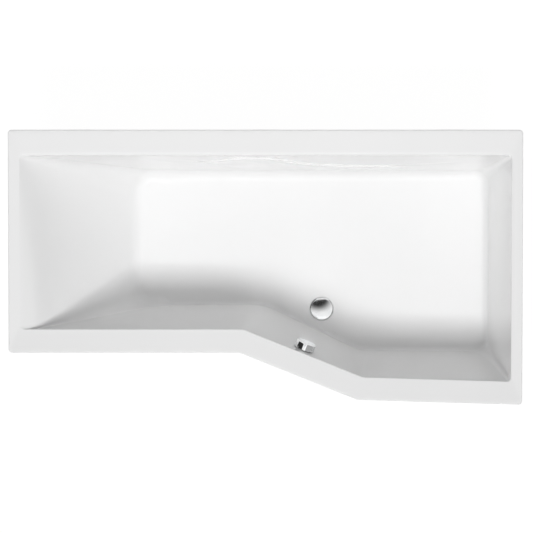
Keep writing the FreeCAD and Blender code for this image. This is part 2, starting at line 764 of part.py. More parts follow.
def plug_stem():
    """Stem in the flange's guide, lifted from below by the lever."""
    stem = cylinder(STEM_RADIUS, STEM_END + STEM_NOSE, PLUG_Z + PLUG_SHEET)
    stem = stem.makeChamfer(ROD_CHAMFER / 2, top_edges(stem, STEM_END + STEM_NOSE))
    return moved(stem.fuse(cylinder(STEM_NOSE_RADIUS, STEM_END, STEM_END + STEM_NOSE * 2)), DRAIN)


def drain_body():
    """Moulded cup under the floor with the tail, the hose port, the cable socket and the lever's lugs."""
    roof = THROAT_END - CUP_WALL
    outer = turned([
        (0, CUP_TOP),
        (CUP_FLANGE_RADIUS, CUP_TOP),
        (CUP_FLANGE_RADIUS, CUP_TOP - CUP_FLANGE),
        (CUP_RADIUS, CUP_TOP - CUP_FLANGE),
        (CUP_RADIUS, CUP_BOTTOM),
        (PIPE_RADIUS, CUP_BOTTOM - CUP_WALL),
        (PIPE_RADIUS, TAIL_END),
        (0, TAIL_END),
    ])
    chamber = cylinder(CUP_RADIUS - CUP_WALL, CUP_BOTTOM, roof)
    neck = cylinder(THROAT_RADIUS + RUN_FIT, roof, CUP_TOP + OVERRUN)
    tail = cylinder(PIPE_RADIUS - PIPE_WALL, TAIL_END - OVERRUN, CUP_BOTTOM + TOUCH)
    level_port = frame_at(DRAIN + Vector(0, 0, HOSE_PORT_Z), WASTE_SIDE, WASTE_OUT)
    spigot_end = HOSE_START + HOSE_GRIP
    spigot = placed(cylinder(HOSE_BORE - SOFT_GAP, CUP_RADIUS - CUP_WALL, spigot_end), level_port)
    bore = placed(cylinder(HOSE_BORE - SOFT_GAP - SPIGOT_WALL, 0, spigot_end + OVERRUN), level_port)
    side_port = frame_at(DRAIN + WASTE_SIDE * CABLE_SIDE + Vector(0, 0, LEVER_Z), WASTE_SIDE, WASTE_OUT)
    nipple = placed(cylinder(NIPPLE_RADIUS, 0, CABLE_START), side_port)
    socket_low = CABLE_START - NIPPLE_GRIP
    socket = placed(cylinder(CABLE_RADIUS + SOFT_GAP, socket_low, CABLE_START + OVERRUN), side_port)
    body = moved(outer, DRAIN).fuse([spigot, nipple])
    body = body.cut([moved(chamber, DRAIN), moved(neck, DRAIN), moved(tail, DRAIN), bore, socket])
    lugs = []
    for side in (-1, 1):
        start = LEVER_WIDTH / 2 + SOFT_GAP
        if side < 0:
            start = -start - LUG_WIDTH
        length = LUG_NOSE + CUP_RADIUS - CUP_WALL / 2 - LEVER_REACH
        lug = Part.makeBox(length, LUG_HEIGHT, LUG_WIDTH, Vector(-LUG_NOSE, -LUG_HEIGHT / 2, start))
        lugs.append(placed(lug, lever_frame()))
    pin_hole = placed(cylinder(LEVER_PIN_RADIUS + RUN_FIT, -CUP_RADIUS / 2, CUP_RADIUS / 2), lever_frame())
    return body.fuse(lugs).cut(pin_hole).removeSplitter()


def lever_frame():
    """Frame of the lever's pivot: Z along the pin, X outward from the drain's axis, Y down or up."""
    origin = DRAIN + WASTE_SIDE * LEVER_REACH + Vector(0, 0, LEVER_Z)
    return frame_at(origin, WASTE_SIDE, WASTE_OUT)


def lever_pin():
    """Pin across the two lugs."""
    half = LEVER_WIDTH / 2 + SOFT_GAP + LUG_WIDTH
    return placed(cylinder(LEVER_PIN_RADIUS, -half, half), lever_frame())


def lift_lever():
    """Two-armed lever that lifts the plug's stem, drawn with its inner arm in its lowest position."""
    low = -LEVER_WIDTH / 2
    high = LEVER_WIDTH / 2
    tip_x = -LEVER_REACH * math.cos(LEVER_REST)
    tip_y = -LEVER_REACH * math.sin(LEVER_REST)
    eye = cylinder(LEVER_EYE_RADIUS, low, high)
    tip = cylinder(LEVER_TIP_RADIUS, low, high, Vector(tip_x, tip_y, 0))
    tail_x = LEVER_TAIL * math.cos(LEVER_REST)
    tail_y = LEVER_TAIL * math.sin(LEVER_REST)
    tail = cylinder(LEVER_TAIL_RADIUS, low, high, Vector(tail_x, tail_y, 0))
    corner = Vector(-LEVER_REACH, -LEVER_THICKNESS / 2, low)
    arm = Part.makeBox(LEVER_REACH + LEVER_TAIL, LEVER_THICKNESS, LEVER_WIDTH, corner)
    arm = arm.rotate(Vector(0, 0, 0), Vector(0, 0, 1), math.degrees(LEVER_REST))
    lever = eye.fuse([tip, tail, arm])
    lever = lever.cut(cylinder(LEVER_PIN_RADIUS + RUN_FIT, low - OVERRUN, high + OVERRUN))
    return placed(lever.removeSplitter(), lever_frame())


def drain_gasket_upper():
    """Thin washer between the floor's recess and the flange."""
    return moved(ring(DRAIN_HOLE_RADIUS, FLANGE_RADIUS - FLANGE_LIP, SEAT_Z, FLANGE_Z), DRAIN)


def drain_gasket_lower():
    """Rubber ring between the drain body and the underside of the floor."""
    return moved(ring(DRAIN_HOLE_RADIUS, GASKET_RADIUS, CUP_TOP, UNDER_SEAT_Z), DRAIN)


# Unions, trap and outlet

def gripped(solid, radius, low, high):
    """A turned cap or nut with upright finger ribs round it."""
    ribs = []
    for step in range(GRIP_RIBS):
        angle = math.radians(FULL_TURN * step / GRIP_RIBS)
        spot = Vector(radius * math.cos(angle), radius * math.sin(angle), 0)
        ribs.append(cylinder(GRIP_RIB_RADIUS, low, high, spot))
    return solid.fuse(ribs).removeSplitter()


def union_nut():
    """Ribbed nut that draws a collar against the tube before it; Z runs with the water."""
    bore = PIPE_RADIUS + SOFT_GAP
    wide = UNION_COLLAR_RADIUS + SOFT_GAP
    shoulder = UNION_SEAL + UNION_COLLAR
    nut = turned([
        (bore, -UNION_NUT_GRIP),
        (UNION_NUT_RADIUS, -UNION_NUT_GRIP),
        (UNION_NUT_RADIUS, shoulder),
        (UNION_COLLAR_RADIUS, shoulder + UNION_NUT_END),
        (bore, shoulder + UNION_NUT_END),
        (bore, shoulder),
        (wide, shoulder),
        (wide, -UNION_SEAL),
        (bore, -UNION_SEAL),
    ])
    return gripped(nut, UNION_NUT_RADIUS, -UNION_NUT_GRIP, shoulder)


def union_seal():
    """Ring between the two tubes of a union."""
    return ring(PIPE_RADIUS - PIPE_WALL, UNION_COLLAR_RADIUS - SOFT_GAP, 0, UNION_SEAL)


SIDEWAYS = Vector(1, 0, 0)
INLET_FRAME = frame_at(DRAIN + Vector(0, 0, TAIL_END), SIDEWAYS, Vector(0, 0, -1))
RISER = DRAIN + TRAP_OUT * (TRAP_BEND * 2)
OUTLET_FRAME = frame_at(
    RISER + TRAP_OUT * TRAP_BRANCH_LENGTH + Vector(0, 0, TRAP_BRANCH_Z), SIDEWAYS, TRAP_OUT
)


def trap_path():
    """Centre line of the trap: down, round and up to the riser's top."""
    top = DRAIN + Vector(0, 0, TAIL_END - UNION_SEAL)
    low = top - Vector(0, 0, TRAP_INLET)
    across = TRAP_OUT * TRAP_BEND
    bottom = low + across - Vector(0, 0, TRAP_BEND)
    far = low + across * 2
    end = RISER + Vector(0, 0, TRAP_RISE_TOP)
    edges = [
        Part.LineSegment(top, low).toShape(),
        Part.Arc(low, bottom, far).toShape(),
        Part.LineSegment(far, end).toShape(),
    ]
    return Part.Wire(edges), top


def trap_tube(radius):
    """Round bar along the trap's centre line."""
    path, top = trap_path()
    section = Part.Wire(Part.makeCircle(radius, top, Vector(0, 0, -1)))
    return path.makePipeShell([section], True, False)


def trap_body():
    """One-piece trap: inlet collar, bend, riser with a clean-out and a level branch."""
    branch_frame = frame_at(RISER + Vector(0, 0, TRAP_BRANCH_Z), SIDEWAYS, TRAP_OUT)
    branch = placed(cylinder(PIPE_RADIUS, 0, TRAP_BRANCH_LENGTH), branch_frame)
    collar = placed(cylinder(UNION_COLLAR_RADIUS, UNION_SEAL, UNION_SEAL + UNION_COLLAR), INLET_FRAME)
    body = trap_tube(PIPE_RADIUS).fuse([branch, collar])
    bore = trap_tube(PIPE_RADIUS - PIPE_WALL)
    branch_bore = placed(cylinder(PIPE_RADIUS - PIPE_WALL, 0, TRAP_BRANCH_LENGTH + OVERRUN), branch_frame)
    return body.cut(bore).cut(branch_bore).removeSplitter()


def trap_cleanout_cap():
    """Ribbed cap on the riser."""
    bore = PIPE_RADIUS + SOFT_GAP
    low = TRAP_RISE_TOP - CAP_SKIRT
    roof = TRAP_RISE_TOP + CAP_SEAL
    cap = turned([
        (bore, low),
        (CAP_RADIUS, low),
        (CAP_RADIUS, roof),
        (PIPE_RADIUS, roof + CAP_ROOF),
        (0, roof + CAP_ROOF),
        (0, roof),
        (bore, roof),
    ])
    return moved(gripped(cap, CAP_RADIUS, low, roof), RISER)


def cleanout_seal():
    """Ring under the clean-out cap."""
    return moved(ring(PIPE_RADIUS - PIPE_WALL, PIPE_RADIUS, TRAP_RISE_TOP, TRAP_RISE_TOP + CAP_SEAL), RISER)


def outlet_pipe():
    """Reducer from the trap's union to the wide spigot that enters the house drain."""
    start = UNION_SEAL
    neck = start + OUTLET_NARROW
    wide = neck + OUTLET_CONE
    end = wide + OUTLET_SPIGOT_LENGTH
    bore = PIPE_RADIUS - PIPE_WALL
    pipe = turned([
        (bore, start),
        (UNION_COLLAR_RADIUS, start),
        (UNION_COLLAR_RADIUS, start + UNION_COLLAR),
        (PIPE_RADIUS, start + UNION_COLLAR),
        (PIPE_RADIUS, neck),
        (OUTLET_RADIUS, wide),
        (OUTLET_RADIUS, end),
        (OUTLET_RADIUS - PIPE_WALL, end),
        (OUTLET_RADIUS - PIPE_WALL, wide),
        (bore, neck),
    ])
    return placed(pipe, OUTLET_FRAME)


# Overflow, made with Z along the wall's normal into the tub and zero on the acrylic

def overflow_flange():
    """Plate on the inside of the wall, with its throat and the guide for the spindle."""
    bore = THROAT_RADIUS - THROAT_WALL
    plate = turned([
        (bore, -OVERFLOW_THROAT),
        (THROAT_RADIUS, -OVERFLOW_THROAT),
        (THROAT_RADIUS, SOFT_GAP),
        (OVERFLOW_PLATE_RADIUS, SOFT_GAP),
        (OVERFLOW_PLATE_RADIUS, OVERFLOW_PLATE),
        (bore, OVERFLOW_PLATE),
    ])
    low = OVERFLOW_PLATE - HUB_HEIGHT
    guide = cylinder(HUB_RADIUS, low, OVERFLOW_PLATE)
    guide = guide.fuse(spokes(SPINDLE_RADIUS, bore + THROAT_WALL / 2, low, OVERFLOW_PLATE))
    guide = guide.cut(cylinder(SPINDLE_RADIUS + RUN_FIT, low - OVERRUN, OVERFLOW_PLATE + OVERRUN))
    return placed(plate.fuse(guide).removeSplitter(), OVERFLOW_FRAME)


def overflow_gasket():
    """Rubber ring between the backing and the overflow body."""
    gasket = ring(OVERFLOW_HOLE_RADIUS, OVERFLOW_GASKET_RADIUS, -SKIN - OVERFLOW_GASKET, -SKIN)
    return placed(gasket, OVERFLOW_FRAME)


OVERFLOW_BODY_TOP = -SKIN - OVERFLOW_GASKET
OVERFLOW_BODY_BACK = OVERFLOW_BODY_TOP - OVERFLOW_FLANGE - OVERFLOW_CUP_DEPTH
NECK_END = OVERFLOW_MIDDLE.z - OVERFLOW_CUP_RADIUS - OVERFLOW_NECK
HOSE_TOP = NECK_END + HOSE_GRIP
NIPPLE_TOP = OVERFLOW_MIDDLE.z
NIPPLE_END = NIPPLE_TOP - OVERFLOW_CUP_RADIUS - CUP_WALL


def overflow_body():
    """Moulded cup behind the wall, with the hose spigot and the cable socket pointing down."""
    throat_room = OVERFLOW_BODY_TOP - OVERFLOW_THROAT
    outer = turned([
        (0, OVERFLOW_BODY_TOP),
        (OVERFLOW_FLANGE_RADIUS, OVERFLOW_BODY_TOP),
        (OVERFLOW_FLANGE_RADIUS, OVERFLOW_BODY_TOP - OVERFLOW_FLANGE),
        (OVERFLOW_CUP_RADIUS, OVERFLOW_BODY_TOP - OVERFLOW_FLANGE),
        (OVERFLOW_CUP_RADIUS, OVERFLOW_BODY_BACK),
        (0, OVERFLOW_BODY_BACK),
    ])
    neck = cylinder(THROAT_RADIUS + RUN_FIT, throat_room, OVERFLOW_BODY_TOP + OVERRUN)
    chamber_top = -OVERFLOW_THROAT - SOFT_GAP
    chamber = cylinder(OVERFLOW_CUP_RADIUS - CUP_WALL, OVERFLOW_BODY_BACK + CUP_WALL, chamber_top)
    down = Vector(OVERFLOW_MIDDLE.x, OVERFLOW_MIDDLE.y, 0)
    beside = down + WASTE_SIDE * CABLE_SIDE
    spigot = cylinder(HOSE_BORE - SOFT_GAP, NECK_END, OVERFLOW_MIDDLE.z, down)
    bore = cylinder(HOSE_BORE - SOFT_GAP - SPIGOT_WALL, NECK_END - OVERRUN, OVERFLOW_MIDDLE.z, down)
    nipple = cylinder(NIPPLE_RADIUS, NIPPLE_END, NIPPLE_TOP, beside)
    socket = cylinder(CABLE_RADIUS + SOFT_GAP, NIPPLE_END - OVERRUN, NIPPLE_END + NIPPLE_GRIP, beside)
    body = placed(outer, OVERFLOW_FRAME).fuse([spigot, nipple])
    hollows = [placed(neck, OVERFLOW_FRAME), placed(chamber, OVERFLOW_FRAME), bore, socket]
    return body.cut(hollows).removeSplitter()


def overflow_knob():
    """Chromed turning cap, open at the back so that water can pass behind it."""
    inside = KNOB_RADIUS - KNOB_SHEET
    roof = KNOB_FRONT - KNOB_SHEET
    knob = turned([
        (SPINDLE_RADIUS + PILOT_PLAY, roof - KNOB_HUB_LENGTH),
        (KNOB_HUB_RADIUS, roof - KNOB_HUB_LENGTH),
        (KNOB_HUB_RADIUS, roof),
        (inside, roof),
        (inside, KNOB_BACK),
        (KNOB_RADIUS, KNOB_BACK),
        (KNOB_RADIUS, KNOB_FRONT),
        (0, KNOB_FRONT),
        (0, roof),
        (SPINDLE_RADIUS + PILOT_PLAY, roof),
    ])
    rim = [edge for edge in top_edges(knob, KNOB_FRONT) if edge.Length > KNOB_RADIUS]
    knob = knob.makeFillet(KNOB_ROUND, rim)
    return placed(knob.cut(grub_hole(PILOT_PLAY)), OVERFLOW_FRAME)


def grub_hole(play):
    """Radial cylinder through the cap's hub, for the grub screw."""
    height = KNOB_FRONT - KNOB_SHEET - KNOB_HUB_LENGTH / 2
    start = Vector(0, -SPINDLE_RADIUS - PILOT_PLAY, height)
    return Part.makeCylinder(GRUB_RADIUS + play, KNOB_HUB_RADIUS - SPINDLE_RADIUS, start, Vector(0, -1, 0))


def knob_screw():
    """Grub screw that holds the cap on its spindle."""
    return placed(grub_hole(0), OVERFLOW_FRAME)


def knob_spindle():
    """Shaft from the turning cap to the cable drum."""
    spindle = cylinder(SPINDLE_RADIUS, -SPINDLE_BACK, KNOB_FRONT - KNOB_SHEET)
    return placed(spindle, OVERFLOW_FRAME)


def cable_drum():
    """Grooved drum that winds the cable."""
    high = -SPINDLE_BACK + DRUM_WIDTH
    middle = -SPINDLE_BACK + DRUM_WIDTH / 2
    bore = SPINDLE_RADIUS + PILOT_PLAY
    drum = turned([
        (bore, -SPINDLE_BACK),
        (DRUM_RADIUS, -SPINDLE_BACK),
        (DRUM_RADIUS - DRUM_WIDTH / 4, middle),
        (DRUM_RADIUS, high),
        (bore, high),
    ])
    return placed(drum, OVERFLOW_FRAME)


# Hose and cable, in upright planes

def bent_path(top, side, bend, low, end):
    """Down from the top, a quarter turn, then level toward the drain."""
    start = Vector(OVERFLOW_MIDDLE.x, OVERFLOW_MIDDLE.y, top) + WASTE_SIDE * side
    corner = Vector(start.x, start.y, low)
    turn_start = corner + Vector(0, 0, bend)
    turn_end = corner - WASTE_OUT * bend
    finish = corner - WASTE_OUT * (WASTE_REACH - end)
    centre = turn_start - WASTE_OUT * bend
    middle = centre + (WASTE_OUT - Vector(0, 0, 1)).normalize() * bend
    return start, turn_start, middle, turn_end, finish


def path_wire(points):
    """Wire through a straight run, an arc and a straight run."""
    start, turn_start, middle, turn_end, finish = points
    edges = [
        Part.LineSegment(start, turn_start).toShape(),
        Part.Arc(turn_start, middle, turn_end).toShape(),
        Part.LineSegment(turn_end, finish).toShape(),
    ]
    return Part.Wire(edges)


def path_station(points, bend, distance):
    """Point and direction at a distance along the path."""
    start, turn_start, middle, turn_end, finish = points
    down = Vector(0, 0, -1)
    first = (turn_start - start).Length
    arc = bend * math.pi / 2
    if distance <= first:
        return start + down * distance, down
    if distance <= first + arc:
        angle = (distance - first) / bend
        centre = turn_start - WASTE_OUT * bend
        heading = down * math.cos(angle) - WASTE_OUT * math.sin(angle)
        return centre + (WASTE_OUT * math.cos(angle) + down * math.sin(angle)) * bend, heading
    return turn_end - WASTE_OUT * (distance - first - arc), WASTE_OUT * -1


def rib_circle(points, bend, distance, radius):
    """Circle square to the path, its X axis always along the plane's normal."""
    spot, heading = path_station(points, bend, distance)
    circle = Part.Wire(Part.makeCircle(radius))
    return placed(circle, frame_at(spot, WASTE_SIDE, heading))


def overflow_hose():
    """Ribbed hose from the overflow body to the drain body."""
    points = bent_path(HOSE_TOP, 0, HOSE_BEND, HOSE_PORT_Z, HOSE_START)
    first = (points[1] - points[0]).Length
    length = first + HOSE_BEND * math.pi / 2 + (points[4] - points[3]).Length
    ribs = max(1, int((length - HOSE_GRIP * 2) / HOSE_PITCH))
    pitch = (length - HOSE_GRIP * 2) / ribs
    radii = [HOSE_ROOT, HOSE_ROOT, HOSE_CREST, HOSE_CREST]
    circles = [rib_circle(points, HOSE_BEND, 0, HOSE_ROOT)]
    for rib in range(ribs):
        for share, radius in zip(HOSE_RIB_SHARES, radii):
            circles.append(rib_circle(points, HOSE_BEND, HOSE_GRIP + (rib + share) * pitch, radius))
    circles.append(rib_circle(points, HOSE_BEND, length - HOSE_GRIP, HOSE_ROOT))
    circles.append(rib_circle(points, HOSE_BEND, length, HOSE_ROOT))
    outer = Part.makeLoft(circles, True, True)
    bore = path_wire(points).makePipeShell([rib_circle(points, HOSE_BEND, 0, HOSE_BORE)], True, False)
    return outer.cut(bore)


def hose_nut(frame):
    """Nut that clamps a hose end on its spigot; Z runs along the hose, zero at the hose's end."""
    wide = HOSE_ROOT + SOFT_GAP
    narrow = HOSE_BORE
    nut = turned([
        (narrow, -HOSE_NUT_COLLAR),
        (HOSE_NUT_RADIUS, -HOSE_NUT_COLLAR),
        (HOSE_NUT_RADIUS, HOSE_NUT_LENGTH - HOSE_NUT_COLLAR * 2),
        (HOSE_CREST, HOSE_NUT_LENGTH - HOSE_NUT_COLLAR - CUP_WALL),
        (wide, HOSE_NUT_LENGTH - HOSE_NUT_COLLAR - CUP_WALL),
        (wide, 0),
        (narrow, 0),
    ])
    nut = gripped(nut, HOSE_NUT_RADIUS, -HOSE_NUT_COLLAR, HOSE_NUT_LENGTH - HOSE_NUT_COLLAR * 2)
    return placed(nut, frame)


def hose_nut_top():
    """Nut at the overflow body."""
    spot = Vector(OVERFLOW_MIDDLE.x, OVERFLOW_MIDDLE.y, HOSE_TOP)
    return hose_nut(frame_at(spot, WASTE_SIDE, Vector(0, 0, -1)))


def hose_nut_bottom():
    """Nut at the drain body."""
    spot = DRAIN + WASTE_OUT * HOSE_START + Vector(0, 0, HOSE_PORT_Z)
    return hose_nut(frame_at(spot, WASTE_SIDE, WASTE_OUT))


def pull_cable():
    """Sheathed cable from the overflow body to the drain body."""
    top = NIPPLE_END + NIPPLE_GRIP
    end = CABLE_START - NIPPLE_GRIP
    points = bent_path(top, CABLE_SIDE, CABLE_BEND, LEVER_Z, end)
    section = Part.Wire(Part.makeCircle(CABLE_RADIUS, points[0], Vector(0, 0, -1)))
    return path_wire(points).makePipeShell([section], True, False)


def save(name, shape):
    """Write one piece as its own file."""
    shape.exportStep(os.path.join("parts", name + ".step"))
    print(name, shape.isValid(), len(shape.Solids), round(shape.Volume))


def main():
    """Build every piece and write it."""
    os.makedirs("parts", exist_ok=True)
    save("acrylic_shell", acrylic_shell())
    save("glassfibre_backing", glassfibre_backing())
    save("base_board", base_board())
    save("rim_batten_narrow", rim_batten("narrow"))
    save("rim_batten_slant", rim_batten("slant"))
    save("rim_batten_wide", rim_batten("wide"))
    save("rim_batten_back", rim_batten("back"))
    for end, x in zip(("head", "foot"), BAR_XS):
        save("leg_bar_" + end, leg_bar(x))
        for side, spot in zip(("front", "back"), foot_spots(x)):
            save("foot_rod_" + end + "_" + side, foot_rod(spot))
            save("foot_pad_" + end + "_" + side, foot_pad(spot))
            print("foot", end, side, spot)
    save("foot_nuts", foot_nuts())
    save("bar_screws", bar_screws())
    for number, x in enumerate(bracket_xs(), 1):
        save("wall_bracket_" + str(number), wall_bracket(x))
        print("bracket", number, x, RIM_HEIGHT - LIP_HEIGHT - BRACKET_GAP - BRACKET_DROP + BRACKET_HOLE_RISE)
    save("bracket_screws", bracket_screws())
    save("drain_flange", drain_flange())
    save("drain_gasket_upper", drain_gasket_upper())
    save("drain_gasket_lower", drain_gasket_lower())
    save("drain_body", drain_body())
    save("drain_plug", drain_plug())
    save("plug_seal", plug_seal())
    save("plug_stem", plug_stem())
    save("lift_lever", lift_lever())
    save("lever_pin", lever_pin())
    save("trap_union_nut", placed(union_nut(), INLET_FRAME))
    save("trap_seal", placed(union_seal(), INLET_FRAME))
    save("trap_body", trap_body())
    save("trap_cleanout_cap", trap_cleanout_cap())
    save("cleanout_seal", cleanout_seal())
    save("outlet_union_nut", placed(union_nut(), OUTLET_FRAME))
    save("outlet_seal", placed(union_seal(), OUTLET_FRAME))
    save("outlet_pipe", outlet_pipe())
    save("overflow_body", overflow_body())
    save("overflow_gasket", overflow_gasket())
    save("overflow_flange", overflow_flange())
    save("overflow_knob", overflow_knob())
    save("knob_spindle", knob_spindle())
    save("cable_drum", cable_drum())
    save("knob_screw", knob_screw())
    save("overflow_hose", overflow_hose())
    save("hose_nut_top", hose_nut_top())
    save("hose_nut_bottom", hose_nut_bottom())
    save("pull_cable", pull_cable())
    print("drain", DRAIN, "levels", FLOOR_Z, SEAT_Z, CUP_TOP, CUP_BOTTOM, TAIL_END)
    print("overflow", OVERFLOW, "normal", SLANT_NORMAL)
    print("waste out", WASTE_OUT, "side", WASTE_SIDE, "reach", WASTE_REACH)
    print("lever pivot", lever_frame().Base, "swing", math.degrees(LEVER_REST) * 2, "stem end", STEM_END)
    print("outlet", OUTLET_FRAME.Base, "riser", RISER)
    print("trap bottom", TAIL_END - UNION_SEAL - TRAP_INLET - TRAP_BEND - PIPE_RADIUS)


main()
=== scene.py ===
import json
import math

import bmesh
import bpy
import numpy as np
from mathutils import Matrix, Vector


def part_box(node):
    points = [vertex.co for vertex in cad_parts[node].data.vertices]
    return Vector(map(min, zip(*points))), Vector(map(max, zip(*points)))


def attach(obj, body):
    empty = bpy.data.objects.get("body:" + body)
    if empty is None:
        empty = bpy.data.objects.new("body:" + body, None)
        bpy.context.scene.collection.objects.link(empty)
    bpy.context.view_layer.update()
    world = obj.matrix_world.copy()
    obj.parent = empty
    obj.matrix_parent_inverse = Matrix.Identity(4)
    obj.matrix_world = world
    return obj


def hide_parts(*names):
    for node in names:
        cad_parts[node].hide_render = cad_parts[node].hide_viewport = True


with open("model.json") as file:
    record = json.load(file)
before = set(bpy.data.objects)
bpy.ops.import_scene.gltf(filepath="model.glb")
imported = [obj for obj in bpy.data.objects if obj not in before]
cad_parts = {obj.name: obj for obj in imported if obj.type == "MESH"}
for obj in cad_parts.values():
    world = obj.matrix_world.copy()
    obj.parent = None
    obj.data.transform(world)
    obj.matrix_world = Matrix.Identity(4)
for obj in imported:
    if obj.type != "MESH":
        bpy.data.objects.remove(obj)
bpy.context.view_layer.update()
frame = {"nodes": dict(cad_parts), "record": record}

# Looks of the asymmetric bathtub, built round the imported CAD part.
# Plan sizes are in millimetres, as in the part's source, and meshes are made in metres.
MM = 0.001

# Box of the shell, overflow and drain, from the frame
LOW, HIGH = [[round(value / MM, 2) for value in corner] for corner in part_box("acrylic_shell")]
HEAD_X, FOOT_X = LOW[0], HIGH[0]
BACK_Y = HIGH[1]
RIM_TOP = HIGH[2]
JOINTS = {joint["name"]: joint for joint in frame["record"]["behaviour"]["joints"]}
OVERFLOW = np.array(JOINTS["cap_turn"]["pos_m"]) / MM
OVERFLOW_NORMAL = np.array(JOINTS["cap_turn"]["axis"])
DRAIN = np.array(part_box("drain_plug")).mean(axis=0)[:2] / MM

# Plan of the tub: corners and sides run anticlockwise from the head's front corner
NARROW_Y = -266.0
NARROW_END = -80.0
WIDE_START = (286.0, -413.0)
OUTLINE = [
    (HEAD_X, NARROW_Y), (NARROW_END, NARROW_Y), WIDE_START,
    (FOOT_X, -BACK_Y), (FOOT_X, BACK_Y), (HEAD_X, BACK_Y),
]
OUTER_RADII = [12, 40, 40, 12, 12, 12]
RIM_WIDTHS = [73.5, 72, 71, 35, 79, 35]
WELL_RADII = OUTER_RADII
FLOOR_CORNERS = [(-420, -145), (-5, -138), (304.5, -288), (719, -291), (719, 291), (-420, 291)]
FLOOR_RADII = [80, 180, 160, 50, 55, 80]
FLOOR_FILLETS = [13, 13, 14, 26, 38, 58]
BACK_SIDE = 4

# Corners of the walls above the floor, and how late they soften into the floor's own
CRISP_RADII = [80, 180, 160, 24, 24, 80]
CRISP_POWER = 5

# Heights, thickness and roundings
RIM_DISH = 3.0
RIM_DISH_WIDTH = 72.0
FLOOR = 170.0
LIP_BOTTOM = 560.0
SKIN = 4.0
EDGE_ROUNDS = [2.6, 2.6, 2.6, 3.5, 8, 4]
LIP_ROUND = 2.8
LIP_TOE = 1.5

# Points of each side and corner, rings of each stretch of the section
SIDE_STEPS = [30, 20, 24, 30, 130, 26]
CORNER_STEPS = 14
CORNER_EASE = 0.14
UPPER_RINGS = 16
LOWER_RINGS = 9
FILLET_RINGS = 10
EDGE_RINGS = 7
RIM_GUARD_SHARES = (0.12, 0.88)
UNDER_STEP_SHARE = 1.6
UNDER_EVERY = 3
MARGIN = 6.0
SHELL_SHARP = 38.0

# Swept ledge of the armrest on the back wall: place along the tub, height, swell of the wall
LEDGE = [
    (-330, 455, 0), (-205, 460, 3.4), (-180, 461, 1), (-126, 470, -2.8), (-85, 478, -6.8), (5, 478, -6.8),
    (50, 465, -2.4), (112, 446, 4.6), (175, 431, 7.6), (270, 423, 9.7), (460, 420, 9.7), (620, 420, 0),
]
LEDGE_STEP = 4.6
LEDGE_RISE = 1.4
LEDGE_FADE = 150.0
LEDGE_ENDS = (-225.0, -165.0, 360.0, 470.0)
LEDGE_RINGS = np.array([-5.0, -2.0, -0.8, -0.5, -0.25, 0.0, 0.25, 0.5, 0.8, 2.0, 5.0])
LEDGE_REACH = 1000.0
LEDGE_GRID = 4.0
LEDGE_EASE = 13
SEARCH_STEPS = 400

# Shoulder at the top of the backrest: reach, depths of its bend and its end, fade along the front and head
SHOULDER_REACH = 34.0
SHOULDER_BEND = 18.0
SHOULDER_END = 420.0
SHOULDER_FADE = (300.0, 600.0)

# Drain recess, as radius and depth below the floor, from its edge down and up again at the back
RECESS = [
    (40.2, 0), (39.4, 0.1), (38.8, 0.5), (38.3, 1.3), (38, 2.4),
    (37.8, 3), (27, 3), (27, 7), (45, 7), (45, 4),
]
RECESS_STEPS = 72

# Overflow hole
OVERFLOW_RADIUS = 27.0
OVERFLOW_REACH = 24.0
OVERFLOW_STEPS = 64

# Sections of the chromed plug and turning cap, as radius and height above the floor or along the cap's axis
PLUG_RADIUS = 35.0
PLUG_ROUND = 0.9
PLUG_EDGE = 5.0
PLUG_CROWN = 1.1
PLUG_UNDER = [
    (35, 2.4), (34.6, 2), (33.4, 2), (33.4, 3.6),
    (13, 3.6), (13, -3), (4.05, -3), (4.05, 3.6),
]
KNOB_RADIUS = 33.5
KNOB_FACE = 32.1
KNOB_ROUND = 2.6
KNOB_FRONT = 23.0
KNOB_UNDER = [
    (33.5, 2.3), (33.2, 2), (31.3, 2), (29.9, 20.8),
    (10, 20.8), (10, 11.8), (5.05, 11.8), (5.05, 20.8),
]
AXIS = 0.4
TURN_STEPS = 96
ROUND_STEPS = 9
DOME_STEPS = 18
TURNED_SHARP = 40.0

# Hose and cable: drop from the overflow's middle, level, start of the bend above it, end before the drain
OVERFLOW_BACK = 38.0
HOSE_DROP = 48.0
HOSE_LEVEL = 121.0
HOSE_BEND = 150.0
HOSE_END = 46.0
CABLE_SIDE = 35.0
CABLE_DROP = 20.0
CABLE_LEVEL = 118.0
CABLE_BEND = 160.0
CABLE_END = 32.0
ROUTE_DETAIL = 64

# Ribs of the hose, as shares of their pitch and of their height
HOSE_RIB_SHARES = [
    (0.0, 0.0), (0.12, 0.02), (0.24, 0.2), (0.34, 0.75), (0.44, 0.97),
    (0.56, 1.0), (0.68, 0.97), (0.78, 0.75), (0.88, 0.2),
]
HOSE_BORE = 13.0
HOSE_ROOT = 14.5
HOSE_CREST = 17.0
HOSE_GRIP = 15.0
HOSE_PITCH = 7.0
HOSE_STEPS = 44
HOSE_BORE_RINGS = 60
HOSE_SHARP = 50.0
MERGE = 0.01

# Rings of the cable's sheath, and its ferrules with a crimp at their inner ends
CABLE_RADIUS = 3.0
CABLE_PITCH = 2.4
CABLE_GROOVE = 0.22
CABLE_STEPS = 20
CABLE_SHARP = 45.0
FERRULE = 24.0
CRIMP = 0.25
CRIMP_SHARE = 0.8


def smooth(value):
    """Soft step from 0 to 1."""
    value = np.clip(value, 0.0, 1.0)
    return value * value * (3 - 2 * value)


def unit(vector):
    """Vector of length 1 in the same direction."""
    return vector / np.linalg.norm(vector)


# Outlines with the same number of points each, so that they can be joined ring to ring

